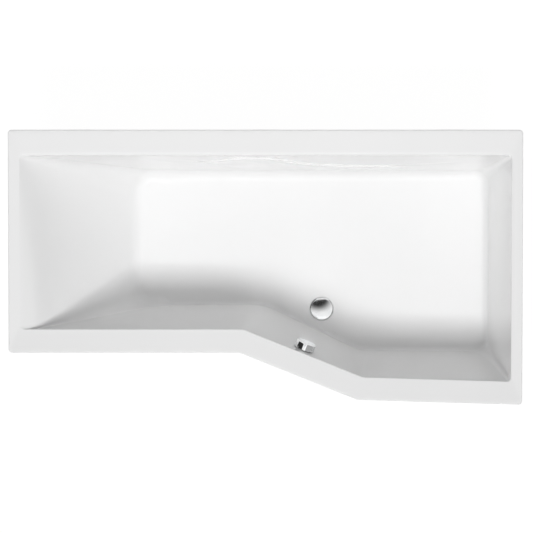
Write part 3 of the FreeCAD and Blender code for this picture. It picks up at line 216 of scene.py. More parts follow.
def offset_corners(points, distances):
    """Corners of a polygon whose sides are each moved inward by their own distance."""
    points = [np.array(p, float) for p in points]
    lines = []
    for i, start in enumerate(points):
        along = unit(points[(i + 1) % len(points)] - start)
        lines.append((start + np.array([-along[1], along[0]]) * distances[i], along))
    corners = []
    for i in range(len(points)):
        p, u = lines[i - 1]
        q, v = lines[i]
        gap = q - p
        step = (gap[0] * v[1] - gap[1] * v[0]) / (u[0] * v[1] - u[1] * v[0])
        corners.append(p + u * step)
    return corners


def rounded_ring(corners, radii):
    """Points of a closed outline with rounded corners, and the inward direction at each."""
    corners = [np.array(c, float) for c in corners]
    arcs = []
    for i, corner in enumerate(corners):
        before = unit(corners[i - 1] - corner)
        after = unit(corners[(i + 1) % len(corners)] - corner)
        half = math.acos(float(np.clip(before @ after, -1, 1))) / 2
        centre = corner + unit(before + after) * (radii[i] / math.sin(half))
        start = corner + before * (radii[i] / math.tan(half))
        end = corner + after * (radii[i] / math.tan(half))
        hollow = before[0] * after[1] - before[1] * after[0] > 0
        arcs.append((start, end, centre, -1 if hollow else 1))
    points, inward = [], []
    for i, (start, end, centre, sign) in enumerate(arcs):
        first = math.atan2(*(start - centre)[::-1])
        turn = math.atan2(*(end - centre)[::-1]) - first
        turn = (turn + math.pi) % (2 * math.pi) - math.pi
        radius = np.linalg.norm(start - centre)
        for step in range(CORNER_STEPS + 1):
            angle = first + turn * step / CORNER_STEPS
            spoke = np.array([math.cos(angle), math.sin(angle)])
            points.append(centre + spoke * radius)
            inward.append(-spoke * sign)
        target = arcs[(i + 1) % len(arcs)][0]
        along = unit(target - end)
        for step in range(1, SIDE_STEPS[i]):
            points.append(end + (target - end) * step / SIDE_STEPS[i])
            inward.append(np.array([-along[1], along[0]]))
    return np.array(points), np.array(inward)


def ring_values(values):
    """One value per ring point: each side's own, eased at a corner into the mean of the two that meet."""
    out = []
    for i in range(len(values)):
        corner = (values[i - 1] + values[i]) / 2
        following = (values[i] + values[(i + 1) % len(values)]) / 2
        out += [corner] * (CORNER_STEPS + 1)
        for step in range(1, SIDE_STEPS[i]):
            u = step / SIDE_STEPS[i]
            value = values[i] + (corner - values[i]) * (1 - smooth(u / CORNER_EASE))
            value += (following - values[i]) * (1 - smooth((1 - u) / CORNER_EASE))
            out.append(float(value))
    return np.array(out)


def lifted(flat, height):
    """Flat ring points at a height, which may differ from point to point."""
    return np.column_stack([flat, np.broadcast_to(height, len(flat))])


# Well of the tub

TOP, TOP_IN = rounded_ring(offset_corners(OUTLINE, RIM_WIDTHS), WELL_RADII)
FOOT, FOOT_IN = rounded_ring(FLOOR_CORNERS, FLOOR_RADII)
CRISP = rounded_ring(FLOOR_CORNERS, CRISP_RADII)[0]
WELL_Z = RIM_TOP - RIM_DISH
DEPTH = WELL_Z - FLOOR
FILLET = ring_values(FLOOR_FILLETS)
EDGE = ring_values(EDGE_ROUNDS)
WALL_RUN = CRISP - TOP + (FOOT - CRISP) * CRISP_POWER
LEAN = np.abs(np.einsum("ij,ij->i", WALL_RUN, (TOP_IN + FOOT_IN) / 2))
SLOPE = np.arctan2(DEPTH, LEAN)


def wall_point(k, share):
    """Point of the wall at a share of the depth: straight, with crisp corners until near the floor."""
    flat = TOP[k] + (CRISP[k] - TOP[k]) * share + (FOOT[k] - CRISP[k]) * share ** CRISP_POWER
    return np.array([flat[0], flat[1], WELL_Z - DEPTH * share])


def conic(a, b, c, weight, share):
    """Point of an arc from a to c whose tangents meet in b."""
    p = (1 - share) ** 2
    q = 2 * share * (1 - share) * weight
    r = share ** 2
    return (a * p + b * q + c * r) / (p + q + r)


class Profile:
    """Section of the well at one ring point: straight wall, then the fillet into the floor."""

    def __init__(self, k):
        self.k = k
        slope = SLOPE[k]
        self.top_share = EDGE[k] * math.tan(slope / 2) * math.sin(slope) / DEPTH
        reach = FILLET[k] * math.tan(slope / 2)
        self.bend_share = 1 - reach * math.sin(slope) / DEPTH
        self.start = wall_point(k, self.bend_share)
        self.knee = wall_point(k, 1)
        self.end = self.knee + np.append(FOOT_IN[k] * reach, 0)
        self.weight = math.cos(slope / 2)
        self.wall = (self.bend_share - self.top_share) * math.hypot(DEPTH, LEAN[k])
        self.total = self.wall + FILLET[k] * slope

    def at(self, run):
        """Point at a distance down the section, from the rim's edge to the floor."""
        if run <= self.wall:
            share = self.top_share + (self.bend_share - self.top_share) * run / self.wall
            return wall_point(self.k, share)
        bend = (run - self.wall) / (self.total - self.wall)
        return conic(self.start, self.knee, self.end, self.weight, bend)


def ledge_line(column):
    """One column of the ledge's table on a fine step, eased at its points."""
    values = np.interp(LEDGE_PLACES, [p[0] for p in LEDGE], [p[column] for p in LEDGE])
    weights = np.hanning(LEDGE_EASE)
    values = np.pad(values, LEDGE_EASE // 2, mode="edge")
    return np.convolve(values, weights / weights.sum(), mode="valid")


LEDGE_PLACES = np.arange(-LEDGE_REACH, LEDGE_REACH, LEDGE_GRID)
LEDGE_HEIGHT = ledge_line(1)
LEDGE_SWELL = ledge_line(2)


def ledge_height(x):
    """Height of the ledge's line at a place along the tub."""
    return np.interp(x, LEDGE_PLACES, LEDGE_HEIGHT)


def ledge_swell(x):
    """How far the back wall swells into the well at the ledge."""
    return float(np.interp(x, LEDGE_PLACES, LEDGE_SWELL))


def ledge_strength(x):
    """Share of the ledge's step, which runs out at both ends."""
    a, b, c, d = LEDGE_ENDS
    return float(smooth((x - a) / (b - a)) * (1 - smooth((x - c) / (d - c))))


def shoulder(depth):
    """How far the backrest's shoulder stands into the well at a depth."""
    return SHOULDER_REACH * np.tanh(depth / SHOULDER_BEND) * (1 - smooth(depth / SHOULDER_END))


def shoulder_weights():
    """Share of the shoulder at each ring point: whole at the head's front corner, none at the back."""
    along_front = (TOP[:, 0] - TOP[:, 0].min()) / SHOULDER_FADE[0]
    across_head = (TOP[:, 1] - TOP[0, 1]) / SHOULDER_FADE[1]
    return (1 - smooth(along_front)) * (1 - smooth(across_head))


def back_range():
    """First and last ring index of the back wall."""
    first = sum(SIDE_STEPS[:BACK_SIDE]) + (BACK_SIDE + 1) * CORNER_STEPS
    return first, first + SIDE_STEPS[BACK_SIDE]


def ring_runs(section):
    """Distances down a section at which its rings lie, and where the ledge's line crosses it."""
    tries = np.linspace(0, section.wall, SEARCH_STEPS)
    points = np.array([section.at(run) for run in tries])
    excess = points[:, 2] - ledge_height(points[:, 0])
    middle = float(np.interp(0.0, excess[::-1], tries[::-1]))
    upper = np.linspace(0, middle + LEDGE_RINGS[0], UPPER_RINGS + 1)[:-1]
    lower = np.linspace(middle + LEDGE_RINGS[-1], section.wall, LOWER_RINGS + 1)[1:]
    bend = np.linspace(section.wall, section.total, FILLET_RINGS + 1)[1:]
    return np.concatenate([upper, middle + LEDGE_RINGS, lower, bend]), middle


def well_grid():
    """Rings of the well from the rim's edge down to the floor, with the armrest's ledge."""
    first, last = back_range()
    grid, push = [], []
    weights = shoulder_weights()
    for k in range(len(TOP)):
        section = Profile(k)
        runs, middle = ring_runs(section)
        column = np.array([section.at(run) for run in runs])
        place = section.at(middle)[0]
        on_back = first <= k <= last
        strength = ledge_strength(place) if on_back else 0.0
        swell = ledge_swell(place) if on_back else 0.0
        share = np.minimum(runs / middle, (section.wall - runs) / (section.wall - middle))
        column[:, :2] += np.outer(np.clip(share, 0, 1) * swell, TOP_IN[k])
        column[:, 0] += weights[k] * shoulder(WELL_Z - column[:, 2])
        below = runs - middle
        fade = min(LEDGE_FADE, section.wall - middle)
        step = smooth(below / LEDGE_RISE + 0.5) * (1 - smooth(below / fade))
        grid.append(column)
        push.append(LEDGE_STEP * strength * step)
    return np.array(grid).transpose(1, 0, 2), np.array(push).T


def grid_normals(grid):
    """Directions square to a grid of rings, pointing into the well."""
    down = np.gradient(grid, axis=0)
    along = np.roll(grid, -1, axis=1) - np.roll(grid, 1, axis=1)
    normal = np.cross(along, down)
    normal /= np.linalg.norm(normal, axis=2, keepdims=True)
    flipped = np.einsum("jki,ki->jk", normal[:2], lifted(TOP_IN, 0.0)).sum(axis=0) < 0
    normal[:, flipped] *= -1
    return normal


def edge_rings(well_top):
    """Rings round the well's edge, from the well's uppermost ring to the rim."""
    reach = EDGE * np.tan(SLOPE / 2)
    rim_start = lifted(TOP - TOP_IN * reach[:, None], WELL_Z + reach * RIM_DISH / RIM_DISH_WIDTH)
    knee = lifted(TOP, WELL_Z)
    weight = np.cos(SLOPE / 2)[:, None]
    shares = np.arange(1, EDGE_RINGS + 1) / EDGE_RINGS
    return [conic(well_top, knee, rim_start, weight, share) for share in shares]


def lip_rings(rim_start):
    """Rings across the rim, over its outer edge, down the lip, round its toe and up behind it."""
    outer, outer_in = rounded_ring(OUTLINE, OUTER_RADII)
    rim_end = lifted(outer + outer_in * LIP_ROUND, RIM_TOP)
    rings = [rim_start + (rim_end - rim_start) * share for share in RIM_GUARD_SHARES]
    section = []
    for angle in np.linspace(0, math.pi / 2, EDGE_RINGS + 1):
        section.append((LIP_ROUND * (1 - math.sin(angle)), RIM_TOP - LIP_ROUND * (1 - math.cos(angle))))
    section += [
        (0, RIM_TOP - LIP_ROUND * 2), (0, LIP_BOTTOM + LIP_TOE), (LIP_TOE, LIP_BOTTOM),
        (SKIN - LIP_TOE, LIP_BOTTOM), (SKIN, LIP_BOTTOM + LIP_TOE), (SKIN, RIM_TOP - SKIN * 2),
        (SKIN * 2, RIM_TOP - SKIN),
    ]
    return rings + [lifted(outer + outer_in * inset, height) for inset, height in section]


def under_rings(outside):
    """Rings of the underside, from below the rim to below the floor, fewer than in the well."""
    under = RIM_TOP - SKIN - RIM_DISH
    rings = [
        lifted(TOP - TOP_IN * SKIN * UNDER_STEP_SHARE, under),
        lifted(TOP - TOP_IN * SKIN, under - SKIN),
    ]
    below = [ring for ring in outside if ring[:, 2].max() <= under - SKIN * 2]
    return rings + below[:-1:UNDER_EVERY] + below[-1:]


def shell_rings():
    """All rings of the moulding, from the floor's edge over the rim to the underside."""
    grid, push = well_grid()
    normal = grid_normals(grid)
    inside = grid + normal * push[:, :, None]
    outside = grid - normal * SKIN
    margin = lifted(FOOT_IN * MARGIN, 0.0)
    edge = edge_rings(inside[0])
    rings = [inside[-1] + margin, *inside[::-1], *edge, *lip_rings(edge[-1]), *under_rings(outside)]
    return rings + [rings[-1] + margin]


def drain_ring(radius, depth):
    """Ring of points round the drain, at a depth below the floor."""
    turn = np.arange(RECESS_STEPS) * (2 * math.pi / RECESS_STEPS)
    flat = np.column_stack([DRAIN[0] + radius * np.cos(turn), DRAIN[1] + radius * np.sin(turn)])
    return lifted(flat, FLOOR - depth)


def add_rings(bm, rings):
    """Vertices of a stack of rings, joined by faces; gives the first and last loop of edges."""
    rows = [[bm.verts.new(Vector(p) * MM) for p in ring] for ring in rings]
    for low, high in zip(rows, rows[1:]):
        for k in range(len(low)):
            after = (k + 1) % len(low)
            bm.faces.new((low[k], low[after], high[after], high[k]))
    loops = []
    for row in (rows[0], rows[-1]):
        loops.append([bm.edges.get((row[k], row[(k + 1) % len(row)])) for k in range(len(row))])
    return loops


def new_piece(name, data):
    """Object of a mesh, curve, lamp or camera, linked to the scene."""
    piece = bpy.data.objects.new(name, data)
    bpy.context.scene.collection.objects.link(piece)
    return piece


def finish_mesh(bm, name, sharp_deg):
    """Mesh of a bmesh with even normals, smooth up to an angle."""
    bmesh.ops.recalc_face_normals(bm, faces=bm.faces)
    mesh = bpy.data.meshes.new(name)
    bm.to_mesh(mesh)
    bm.free()
    mesh.shade_smooth()
    mesh.set_sharp_from_angle(angle=math.radians(sharp_deg))
    return mesh


def overflow_cutter():
    """Short round bar on the overflow's axis."""
    bm = bmesh.new()
    bmesh.ops.create_cone(
        bm, cap_ends=True, segments=OVERFLOW_STEPS, radius1=OVERFLOW_RADIUS * MM,
        radius2=OVERFLOW_RADIUS * MM, depth=OVERFLOW_REACH * 2 * MM,
    )
    mesh = bpy.data.meshes.new("overflow_cutter")
    bm.to_mesh(mesh)
    bm.free()
    cutter = new_piece("overflow_cutter", mesh)
    cutter.rotation_mode = "QUATERNION"
    cutter.rotation_quaternion = Vector((0, 0, 1)).rotation_difference(Vector(OVERFLOW_NORMAL))
    cutter.location = Vector(OVERFLOW) * MM
    return cutter


def acrylic_shell():
    """The moulded tub: well, armrest ledge, drain recess, rim and downturned lip."""
    bm = bmesh.new()
    floor_loop, under_loop = add_rings(bm, shell_rings())
    recess = [drain_ring(radius, depth) for radius, depth in RECESS]
    recess_loop, recess_back_loop = add_rings(bm, recess)
    bmesh.ops.triangle_fill(bm, use_beauty=True, edges=floor_loop + recess_loop, normal=(0, 0, 1))
    bmesh.ops.triangle_fill(bm, use_beauty=True, edges=under_loop + recess_back_loop, normal=(0, 0, -1))
    shell = new_piece("tub_shell", finish_mesh(bm, "tub_shell", SHELL_SHARP))
    cutter = overflow_cutter()
    cut = shell.modifiers.new("overflow", "BOOLEAN")
    cut.operation = "DIFFERENCE"
    cut.solver = "EXACT"
    cut.object = cutter
    bpy.context.view_layer.update()
    depsgraph = bpy.context.evaluated_depsgraph_get()
    mesh = bpy.data.meshes.new_from_object(shell.evaluated_get(depsgraph))
    shell.modifiers.clear()
    shell.data = mesh
    mesh.name = "tub_shell"
    bpy.data.objects.remove(cutter)
    mesh.set_sharp_from_angle(angle=math.radians(SHELL_SHARP))
    return shell


# Chromed plug and turning cap

def turned(name, section, spot, axis):
    """Body of revolution about an axis through a spot, from its section's radii and heights."""
    axis = unit(np.array(axis, float))
    across = unit(np.cross(axis, (1.0, 0.0, 0.0)))
    other = np.cross(axis, across)
    turn = np.arange(TURN_STEPS) * (2 * math.pi / TURN_STEPS)
    circle = np.outer(np.cos(turn), across) + np.outer(np.sin(turn), other)
    bm = bmesh.new()
    rings = [np.array(spot) + circle * radius + axis * height for radius, height in section]
    for loop in add_rings(bm, rings):
        bmesh.ops.contextual_create(bm, geom=loop)
    return new_piece(name, finish_mesh(bm, name, TURNED_SHARP))


def rounding(radius, top, size, draft):
    """Arc from a flat top over to a side that leans out by an angle."""
    angles = np.linspace(0, math.pi / 2 - draft, ROUND_STEPS)
    return [(radius - size + size * math.sin(a), top - size + size * math.cos(a)) for a in angles]


def domed_plug():
    """Chromed plug with a shallow dome, hollow from below."""
    reach = PLUG_RADIUS - PLUG_ROUND
    radii = np.linspace(AXIS, reach, DOME_STEPS)
    dome = [(r, PLUG_EDGE + PLUG_CROWN * (1 - (r / reach) ** 2)) for r in radii[:-1]]
    edge = rounding(PLUG_RADIUS, PLUG_EDGE, PLUG_ROUND, 0)
    under = PLUG_UNDER + [(AXIS, PLUG_UNDER[-1][1])]
    return turned("domed_plug", dome + edge + under, (*DRAIN, FLOOR), (0, 0, 1))


def turning_cap():
    """Chromed overflow cap with a slight taper, hollow from behind."""
    draft = math.atan2(KNOB_RADIUS - KNOB_FACE, KNOB_FRONT)
    face = [(AXIS, KNOB_FRONT), (KNOB_FACE / 2, KNOB_FRONT)]
    edge = rounding(KNOB_FACE, KNOB_FRONT, KNOB_ROUND, draft)
    under = KNOB_UNDER + [(AXIS, KNOB_UNDER[-1][1])]
    return turned("turning_cap", face + edge + under, OVERFLOW, OVERFLOW_NORMAL)


# Hose and cable

def guide_points(side, drop, level, bend, end):
    """Guide points of a line from the overflow down to a level and along it to the drain."""
    middle = OVERFLOW - OVERFLOW_NORMAL * OVERFLOW_BACK
    out = unit(middle[:2] - DRAIN)
    shift = np.array([-out[1], out[0]]) * side
    upright = [(*(middle[:2] + shift), height) for height in (middle[2] - drop, level + bend, level)]
    return np.array(upright + [(*(DRAIN + shift + out * end), level)])


def route_points(route):
    """Points along the smooth line that the route's points guide."""
    data = bpy.data.curves.new("route", "CURVE")
    data.dimensions = "3D"
    data.resolution_u = ROUTE_DETAIL
    spline = data.splines.new("NURBS")
    spline.points.add(len(route) - 1)
    for point, spot in zip(spline.points, route):
        point.co = (*[c * MM for c in spot], 1)
    spline.order_u = 3
    spline.use_endpoint_u = True
    guide = new_piece("route", data)
    bpy.context.view_layer.update()
    mesh = bpy.data.meshes.new_from_object(guide)
    points = np.array([v.co[:] for v in mesh.vertices])
    bpy.data.objects.remove(guide)
    bpy.data.meshes.remove(mesh)
    return points


def stations(points, distances):
    """Points and headings at distances along a line of points."""
    steps = np.linalg.norm(np.diff(points, axis=0), axis=1)
    run = np.append(0, np.cumsum(steps))
    spots = np.column_stack([np.interp(distances, run, points[:, i]) for i in range(3)])
    heads = np.gradient(points, run, axis=0)
    heads = np.column_stack([np.interp(distances, run, heads[:, i]) for i in range(3)])
    return spots, heads / np.linalg.norm(heads, axis=1, keepdims=True)


def line_length(points):
    """Length of a line of points."""
    return float(np.linalg.norm(np.diff(points, axis=0), axis=1).sum())


def level_side(route):
    """Level direction square to the last leg of a route."""
    leg = unit(route[-1] - route[-2])
    return np.array([leg[1], -leg[0], 0.0])


def tube_rings(points, side, distances, radii, segments):
    """Circles square to the line, with one steady side direction."""
    spots, heads = stations(points, distances)
    turn = np.arange(segments) * (2 * math.pi / segments)
    rings = []
    for spot, head, radius in zip(spots, heads, radii):
        up = unit(np.cross(head, side))
        across = np.cross(up, head)
        circle = np.outer(np.cos(turn), across) + np.outer(np.sin(turn), up)
        rings.append((spot + circle * radius) / MM)
    return rings


def overflow_hose():
    """Ribbed hose with rounded crests, plain cuffs and its bore."""
    route = guide_points(0.0, HOSE_DROP, HOSE_LEVEL, HOSE_BEND, HOSE_END)
    points = route_points(route)
    length = line_length(points)
    grip = HOSE_GRIP * MM
    ribs = int((length - grip * 2) / (HOSE_PITCH * MM))
    pitch = (length - grip * 2) / ribs
    distances = [0.0, grip / 2]
    radii = [HOSE_ROOT * MM] * 2
    for rib in range(ribs):
        for share, height in HOSE_RIB_SHARES:
            distances.append(grip + (rib + share) * pitch)
            radii.append((HOSE_ROOT + (HOSE_CREST - HOSE_ROOT) * height) * MM)
    distances += [length - grip, length]
    radii += [HOSE_ROOT * MM] * 2
    distances += list(np.linspace(length, 0, HOSE_BORE_RINGS))
    radii += [HOSE_BORE * MM] * HOSE_BORE_RINGS
    bm = bmesh.new()
    rings = tube_rings(points, level_side(route), np.array(distances), radii, HOSE_STEPS)
    add_rings(bm, rings + rings[:1])
    bmesh.ops.remove_doubles(bm, verts=bm.verts, dist=MERGE * MM)
    return new_piece("ribbed_hose", finish_mesh(bm, "ribbed_hose", HOSE_SHARP))


def sheath_sink(run, length):
    """How far the cable's sheath lies below its full radius at a distance along it."""
    near = min(run, length - run)
    if near < FERRULE * MM:
        return 0.0 if near < FERRULE * MM * CRIMP_SHARE else CRIMP
    return CABLE_GROOVE if int(run / (CABLE_PITCH * MM / 2)) % 2 else 0.0


def pull_cable():
    """Sheathed cable with a finely ringed sheath and crimped ferrules at its ends."""
    route = guide_points(CABLE_SIDE, CABLE_DROP, CABLE_LEVEL, CABLE_BEND, CABLE_END)
    points = route_points(route)
    length = line_length(points)
    distances, radii = [], []
    run = 0.0
    while run < length:
        distances.append(run)
        radii.append((CABLE_RADIUS - sheath_sink(run, length)) * MM)
        run += CABLE_PITCH * MM / 4
    distances.append(length)
    radii.append(CABLE_RADIUS * MM)
    bm = bmesh.new()
    rings = tube_rings(points, level_side(route), np.array(distances), radii, CABLE_STEPS)
    for loop in add_rings(bm, rings):
        bmesh.ops.contextual_create(bm, geom=loop)
    return new_piece("sheathed_cable", finish_mesh(bm, "sheathed_cable", CABLE_SHARP))


# Materials

WHITE = (1, 1, 1)
BLACK = (0, 0, 0)


def feed(links, value, socket):
    """Links a socket to another, or sets it to a plain value."""
    if isinstance(value, bpy.types.NodeSocket):
        links.new(value, socket)
    else:
        socket.default_value = value


class Maker:
    """One node material with a principled shader and its helpers."""

    def __init__(self, name):
        self.material = bpy.data.materials.new(name)
        self.material.use_nodes = True
        self.nodes = self.material.node_tree.nodes
        self.links = self.material.node_tree.links
        self.shader = self.nodes["Principled BSDF"]
        self.spot = self.nodes.new("ShaderNodeTexCoord").outputs["Object"]

    def set(self, **values):
        """Plain values of the shader."""
        for key, value in values.items():
            self.shader.inputs[key.replace("_", " ")].default_value = value

    def mapped(self, scale=(1, 1, 1), turn_deg=(0, 0, 0)):
        """Object coordinates, stretched and turned."""
        node = self.nodes.new("ShaderNodeMapping")
        node.inputs["Scale"].default_value = scale
        node.inputs["Rotation"].default_value = [math.radians(a) for a in turn_deg]
        self.links.new(self.spot, node.inputs["Vector"])
        return node.outputs["Vector"]

    def noise(self, scale, detail=4.0, rough=0.55, vector=None):
        """Cloudy noise."""
        node = self.nodes.new("ShaderNodeTexNoise")
        node.inputs["Scale"].default_value = scale
        node.inputs["Detail"].default_value = detail
        node.inputs["Roughness"].default_value = rough
        self.links.new(vector or self.spot, node.inputs["Vector"])
        return node.outputs["Fac"]

    def cells(self, scale, output="Color", vector=None, feature="F1"):
        """Cells of random size, as a tone of each or as the distance to their edges."""
        node = self.nodes.new("ShaderNodeTexVoronoi")
        node.feature = feature
        node.inputs["Scale"].default_value = scale
        self.links.new(vector or self.spot, node.inputs["Vector"])
        return node.outputs[output]

    def rings(self, scale, distortion, vector):
        """Growth rings."""
        node = self.nodes.new("ShaderNodeTexWave")
        node.wave_type = "RINGS"
        node.inputs["Scale"].default_value = scale
        node.inputs["Distortion"].default_value = distortion
        node.inputs["Detail"].default_value = 3.0
        node.inputs["Detail Scale"].default_value = 1.4
        self.links.new(vector, node.inputs["Vector"])
        return node.outputs["Fac"]

    def ramp(self, value, *stops):
        """Colours that a value runs through, each at its place."""
        node = self.nodes.new("ShaderNodeValToRGB")
        while len(node.color_ramp.elements) < len(stops):
            node.color_ramp.elements.new(0.5)
        for element, (place, colour) in zip(node.color_ramp.elements, stops):
            element.position = place
            element.color = (*colour, 1)
        self.links.new(value, node.inputs["Fac"])
        return node.outputs["Color"]

    def span(self, value, low, high, start=0.3, end=0.7):
        """Range of a value, stretched to run between two levels."""
        node = self.nodes.new("ShaderNodeMapRange")
        node.inputs["From Min"].default_value = start
        node.inputs["From Max"].default_value = end
        node.inputs["To Min"].default_value = low
        node.inputs["To Max"].default_value = high
        self.links.new(value, node.inputs["Value"])
        return node.outputs["Result"]

    def blend(self, share, a, b, mode="MIX"):
        """Two colours or values mixed."""
        node = self.nodes.new("ShaderNodeMix")
        node.data_type = "RGBA"
        node.blend_type = mode
        for socket, value in ((node.inputs[0], share), (node.inputs[6], a), (node.inputs[7], b)):
            feed(self.links, value, socket)
        return node.outputs[2]

    def colour(self, value):
        """Base colour of the shader."""
        self.links.new(value, self.shader.inputs["Base Color"])

    def rough(self, value):
        """Roughness of the shader."""
        self.links.new(value, self.shader.inputs["Roughness"])

    def bump(self, *layers):
        """Bumps one on another: each is a value, a depth in metres and a strength."""
        under = None
        for value, depth, strength in layers:
            node = self.nodes.new("ShaderNodeBump")
            node.inputs["Distance"].default_value = depth
            node.inputs["Strength"].default_value = strength
            self.links.new(value, node.inputs["Height"])
            if under is not None:
                self.links.new(under, node.inputs["Normal"])
            under = node.outputs["Normal"]
        self.links.new(under, self.shader.inputs["Normal"])


def acrylic():
    """Gloss acrylic with a faint waviness."""
    m = Maker("acrylic_gloss")
    cloud = m.noise(3.0, 3.0)
    m.colour(m.ramp(cloud, (0.3, (0.938, 0.939, 0.939)), (0.7, (0.951, 0.951, 0.951))))
    m.rough(m.span(m.noise(9.0, 5.0), 0.13, 0.15))
    m.bump((m.noise(7.0, 1.0), 0.0005, 0.012), (m.noise(900.0, 2.0), 0.00002, 0.06))
    m.set(IOR=1.49)
    return m.material


def glassfibre():
    """Chopped strands in resin, laid in three directions."""
    m = Maker("glassfibre_laminate")
    mat = None
    layers = (((20, 10, 15), 95.0, 0.10), ((70, 35, 95), 110.0, 0.10), ((-40, 80, 150), 80.0, 0.12))
    for turn, scale, edge in layers:
        cells = m.cells(scale, "Distance", m.mapped((1.0, 0.09, 0.3), turn), "DISTANCE_TO_EDGE")
        strands = m.ramp(cells, (0.0, WHITE), (edge, BLACK))
        mat = strands if mat is None else m.blend(1.0, mat, strands, "LIGHTEN")
    resin = m.ramp(m.noise(14.0, 6.0), (0.3, (0.66, 0.61, 0.49)), (0.7, (0.79, 0.75, 0.65)))
    fibre = m.ramp(m.noise(60.0, 3.0), (0.3, (0.80, 0.78, 0.71)), (0.7, (0.88, 0.865, 0.81)))
    m.colour(m.blend(m.span(mat, 0.0, 0.75, 0.1, 0.9), resin, fibre))
    m.rough(m.span(m.noise(40.0, 5.0), 0.32, 0.62))
    m.bump((m.noise(24.0, 5.0), 0.0022, 0.55), (mat, 0.0006, 0.7))
    return m.material


def chipboard():
    """Raw chipboard with flakes of two sizes."""
    m = Maker("chipboard_raw")
    flakes = m.cells(210.0, "Color", m.mapped((1, 1, 0.35)))
    fine = m.cells(520.0, "Color")
    tone = m.blend(0.45, flakes, fine)
    flake_tones = (0.15, (0.30, 0.20, 0.11)), (0.5, (0.52, 0.39, 0.24)), (0.85, (0.68, 0.55, 0.38))
    wood = m.ramp(tone, *flake_tones)
    stain = m.ramp(m.noise(5.0, 4.0), (0.3, (0.86, 0.84, 0.80)), (0.7, WHITE))
    m.colour(m.blend(1.0, wood, stain, "MULTIPLY"))
    m.rough(m.span(fine, 0.62, 0.9, 0.0, 1.0))
    m.bump((tone, 0.0007, 0.6), (m.noise(900.0, 3.0), 0.0002, 0.4))
    return m.material


def softwood(name, turn_deg):
    """Planed softwood, its grain turned in plan to run along a batten."""
    m = Maker(name)
    vector = m.mapped((0.55, 9.0, 9.0), (0, 0, turn_deg))
    rings = m.rings(1.8, 5.0, vector)
    fibre = m.noise(26.0, 6.0, 0.65, m.mapped((0.5, 30.0, 30.0), (0, 0, turn_deg)))
    ring_tones = (0.1, (0.74, 0.56, 0.34)), (0.65, (0.66, 0.46, 0.25)), (0.95, (0.50, 0.31, 0.14))
    wood = m.ramp(rings, *ring_tones)
    streak = m.ramp(fibre, (0.3, (0.80, 0.76, 0.70)), (0.7, WHITE))
    m.colour(m.blend(1.0, wood, streak, "MULTIPLY"))
    m.rough(m.span(fibre, 0.58, 0.8))
    m.bump((fibre, 0.0005, 0.6), (rings, 0.0003, 0.3))
    return m.material


def zinc():
    """Zinc plate with a soft spangle and drawing lines."""
    m = Maker("zinc_plate")
    spangle = m.cells(150.0, "Color")
    cloud = m.noise(30.0, 5.0)
    tone = m.blend(0.5, spangle, cloud)
    plate_tones = (0.2, (0.52, 0.53, 0.54)), (0.55, (0.66, 0.67, 0.68)), (0.85, (0.76, 0.77, 0.77))
    m.colour(m.ramp(tone, *plate_tones))
    m.rough(m.span(tone, 0.26, 0.46, 0.2, 0.8))
    drawn = m.noise(900.0, 2.0, 0.5, m.mapped((1, 0.06, 1)))
    m.bump((m.noise(260.0, 4.0), 0.0001, 0.35), (drawn, 0.00005, 0.4))
    m.set(Metallic=1.0)
    return m.material


def chrome():
    """Chrome plate with faint wipe marks."""
    m = Maker("chrome_plate")
    wipe = m.noise(160.0, 4.0, 0.6, m.mapped((1.0, 0.15, 1.0), (0, 0, 25)))
    m.colour(m.ramp(m.noise(40.0, 3.0), (0.3, (0.80, 0.81, 0.82)), (0.7, (0.88, 0.885, 0.89))))
    m.rough(m.span(wipe, 0.035, 0.085))
    m.bump((m.noise(30.0, 2.0), 0.00012, 0.04), (wipe, 0.00002, 0.10))
    m.set(Metallic=1.0)
    return m.material


def moulded(name, low, high, rough, grain, depth):
    """Moulded plastic or rubber: cloudy tone, fine grain and slow sink marks."""
    m = Maker(name)
    cloud = m.noise(18.0, 5.0)
    speck = m.noise(grain, 3.0)
    m.colour(m.ramp(m.blend(0.35, cloud, speck), (0.3, low), (0.7, high)))
    m.rough(m.span(speck, *rough))
    m.bump((m.noise(45.0, 2.0), 0.0006, 0.15), (speck, depth, 0.4))
    return m.material


def hose_plastic():
    """Grey hose, a little dusty."""
    m = Maker("hose_plastic")
    dust = m.noise(26.0, 6.0)
    speck = m.noise(420.0, 3.0)
    tone = m.blend(0.4, dust, speck)
    m.colour(m.ramp(tone, (0.3, (0.50, 0.515, 0.53)), (0.7, (0.63, 0.64, 0.65))))
    m.rough(m.span(dust, 0.34, 0.55))
    m.bump((speck, 0.0002, 0.35))
    return m.material


def brass():
    """Turned brass with tool marks."""
    m = Maker("brass_turned")
    tool = m.noise(500.0, 3.0, 0.6, m.mapped((0.05, 1.0, 1.0)))
    cloud = m.noise(45.0, 4.0)
    m.colour(m.ramp(cloud, (0.3, (0.58, 0.42, 0.17)), (0.7, (0.76, 0.60, 0.30))))
    m.rough(m.span(tool, 0.18, 0.36))
    m.bump((tool, 0.00006, 0.5))
    m.set(Metallic=1.0)
    return m.material


